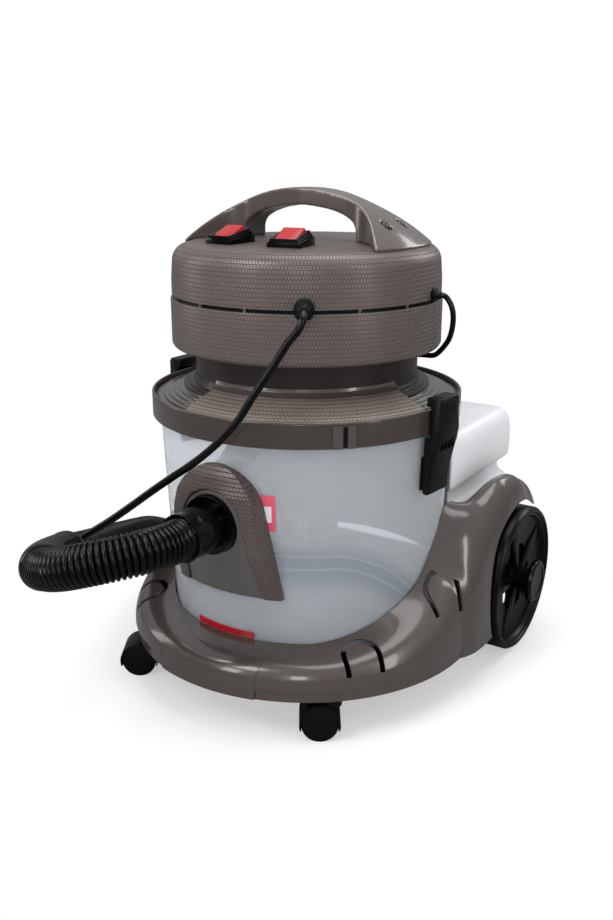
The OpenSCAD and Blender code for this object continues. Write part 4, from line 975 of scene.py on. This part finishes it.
# The cover's outline on one side, set in from its outer face
def headCurve(inset):
    (r, z), radius = head["arcCenter"], head["arcRadius"] - inset
    arc = [(r + radius * math.cos(math.radians(7.5 * i)), z + radius * math.sin(math.radians(7.5 * i)))
           for i in range(11)]
    side = [(head["radius"] - inset, head["foot"]), (head["radius"] - inset, head["straight"])]
    return side + arc + [(125, 510.5 - inset), (80, 512 - inset), (0, 512.5 - inset)]


upperCover = spinProfile("upperCover", headCurve(0) + headCurve(head["wall"])[::-1], steps=192, smooth=26)
switch = {"x": 39, "y": -90.5, "z": 514.5, "tilt": 13, "turn": 7.5}


def atSwitch(s):
    return (Matrix.Translation((s * switch["x"] * mm, switch["y"] * mm + tankY, switch["z"] * mm))
            @ turnBy(s * switch["turn"], "Z") @ turnBy(switch["tilt"], "X"))


cut(upperCover, *[place(boxPiece("switchHole", (-13, -14.7, -16), (13, 14.7, 10)), atSwitch(s)) for s in (-1, 1)])
smoothByAngle(upperCover, 26)
dress(upperCover, "head", "grey_brown_textured", brownWoven, "upper_cover")

# The handle is a slice of a shallow dome, cut to its plan and opened by an arch from each side
handle = {
    "foot": 139.5, "top": 567.5, "drop": 58, "turn": 11, "screws": (110.5, 17.3),
    "plan": [[0, 20], [30, 17.5], [50, 16], [62, 15.5], [70, 16.3], [78, 19], [85, 23], [92, 28.5], [100, 36],
             [107, 44], [113, 51.5], [119, 59], [125, 66], [150, 86]],
    "arch": [(-14, 549), (9.1, 548.6), (21.3, 547.2), (33.6, 545.2), (40.2, 543.6), (46.5, 541.7), (52.9, 539.2),
             (59.3, 535.8), (63.4, 532.8), (66.1, 529.3), (67.9, 525.2), (68.7, 519)],
}
dome = [(handle["foot"] * i / 40, handle["top"] - handle["drop"] * (i / 40) ** 2.15) for i in range(40, -1, -1)]
handlePiece = spinProfile("handlePiece", [(0, 492.5), (141.5, 492.5)] + dome, steps=192)
across = [-142 + 4 * i for i in range(72)]
plan = [(x, -readTable(handle["plan"], abs(x))) for x in across]
plan += [(x, readTable(handle["plan"], abs(x))) for x in across[::-1]]
planTool = place(prismPiece("handlePlan", plan, 480, 580), Matrix.Translation((0, tankY, 0)))
cut(handlePiece, planTool, operation="INTERSECT")
archPoints = [Vector(q) for q in handle["arch"]]
archCurve = [splinePoint(archPoints, i, k / 4) for i in range(len(archPoints) - 1) for k in range(4)]
for s in (-1, 1):
    outline = [(s * x, z) for x, z in archCurve] + [(s * 68.7, 519), (s * 68.7, 480), (s * -14, 480)]
    arch = place(prismPiece("handleArch", outline, -60, 60), aroundAxis(s * handle["turn"]) @ turnBy(90, "X"))
    holes = [rodPiece("handleScrew", 6.5, 40, (s * handle["screws"][0], t * handle["screws"][1] + tankY / mm, 540.5))
             for t in (-1, 1)]
    cut(handlePiece, arch, *holes)
cut(handlePiece, spinProfile("coverTool", [(0, 450)] + headCurve(0), steps=192))
dress(softened(handlePiece, 1.3, 5), "head", "grey_brown_gloss", handleGloss, "handle")

for side in ("right", "left"):
    bezel = bevelled(f"switch_bezel_{side}", 0.7)
    dress(bezel, "head", "black_gloss", blackGloss, f"switch_bezel_{side}")
    rocker = bevelled(f"rocker_{side}", 0.8)
    dress(rocker, f"rocker_{side}", "red_plastic", redGloss, f"rocker_{side}")
for side in ("front", "right"):
    gland = bevelled(f"gland_{side}", 0.5)
    dress(gland, "head", "black_plastic", blackSatin, f"gland_{side}")
print("head made")

finishes = {
    "chassis": blackSatin, "trim_strip": redGloss, "chassis_screws": steelFinish, "rear_axle": steelFinish,
    "inlet_port": blackGloss, "port_nut": greyPlate, "inlet_elbow": milkyTank, "latch_bracket": blackSatin,
    "latch_pins": steelFinish, "lid_gasket": rubberFinish, "motor_deck": greyPlate, "motor_case": blackSatin,
    "motor_rotor": blackSatin, "motor_seal": rubberFinish, "pump": blackSatin, "filter_basket": basketBlue,
    "float_cage": basketBlue, "float": whiteFloat,
}
for name, finish in finishes.items():
    mesh = nodes[name].data
    for i in range(max(1, len(mesh.materials))):
        if i < len(mesh.materials):
            mesh.materials[i] = finish
        else:
            mesh.materials.append(finish)

bpy.ops.mesh.primitive_plane_add(size=12)
floor = bpy.context.object
floor.name = "floor"
# The floor keeps the shadow near the machine, lightened by a painted glow, and turns to plain white for the camera
# further out
floorLook = {"color": "f6f6f6", "roughness": 0.75, "specular": 0.15, "near": 0.24, "far": 0.5, "lift": 0.45,
             "inReflections": (0.22, 0.22, 0.22, 1)}
floorFinish, floorTree, floorShader = newFinish(
    "floorWhite", floorLook["color"], floorLook["roughness"], specular=floorLook["specular"])
farOut = newNode(floorTree, "VectorMath", {0: objectCoordinates(floorTree)}, operation="LENGTH").outputs["Value"]
fade = newNode(floorTree, "MapRange", {"Value": farOut, "From Min": floorLook["near"], "From Max": floorLook["far"]},
               interpolation_type="SMOOTHSTEP").outputs["Result"]
rays, toEye = eyeRays(floorTree)
glow = newNode(floorTree, "Emission", {"Strength": 1.0}).outputs[0]
dull = newNode(floorTree, "BsdfDiffuse", {"Color": floorLook["inReflections"]}).outputs[0]
mirrored = mixedShader(floorTree, floorShader.outputs[0], dull, rays["Is Glossy Ray"])
# Painted light: near the machine the floor still glows for the camera by the lift share, which lightens its shadow
glowShare = mathNode(floorTree, "MULTIPLY_ADD", fade, 1 - floorLook["lift"], floorLook["lift"])
shown = mixedShader(floorTree, mirrored, glow, mathNode(floorTree, "MULTIPLY", glowShare, toEye))
feed(floorTree, floorTree.nodes["Material Output"], {"Surface": shown})
floor.data.materials.append(floorFinish)
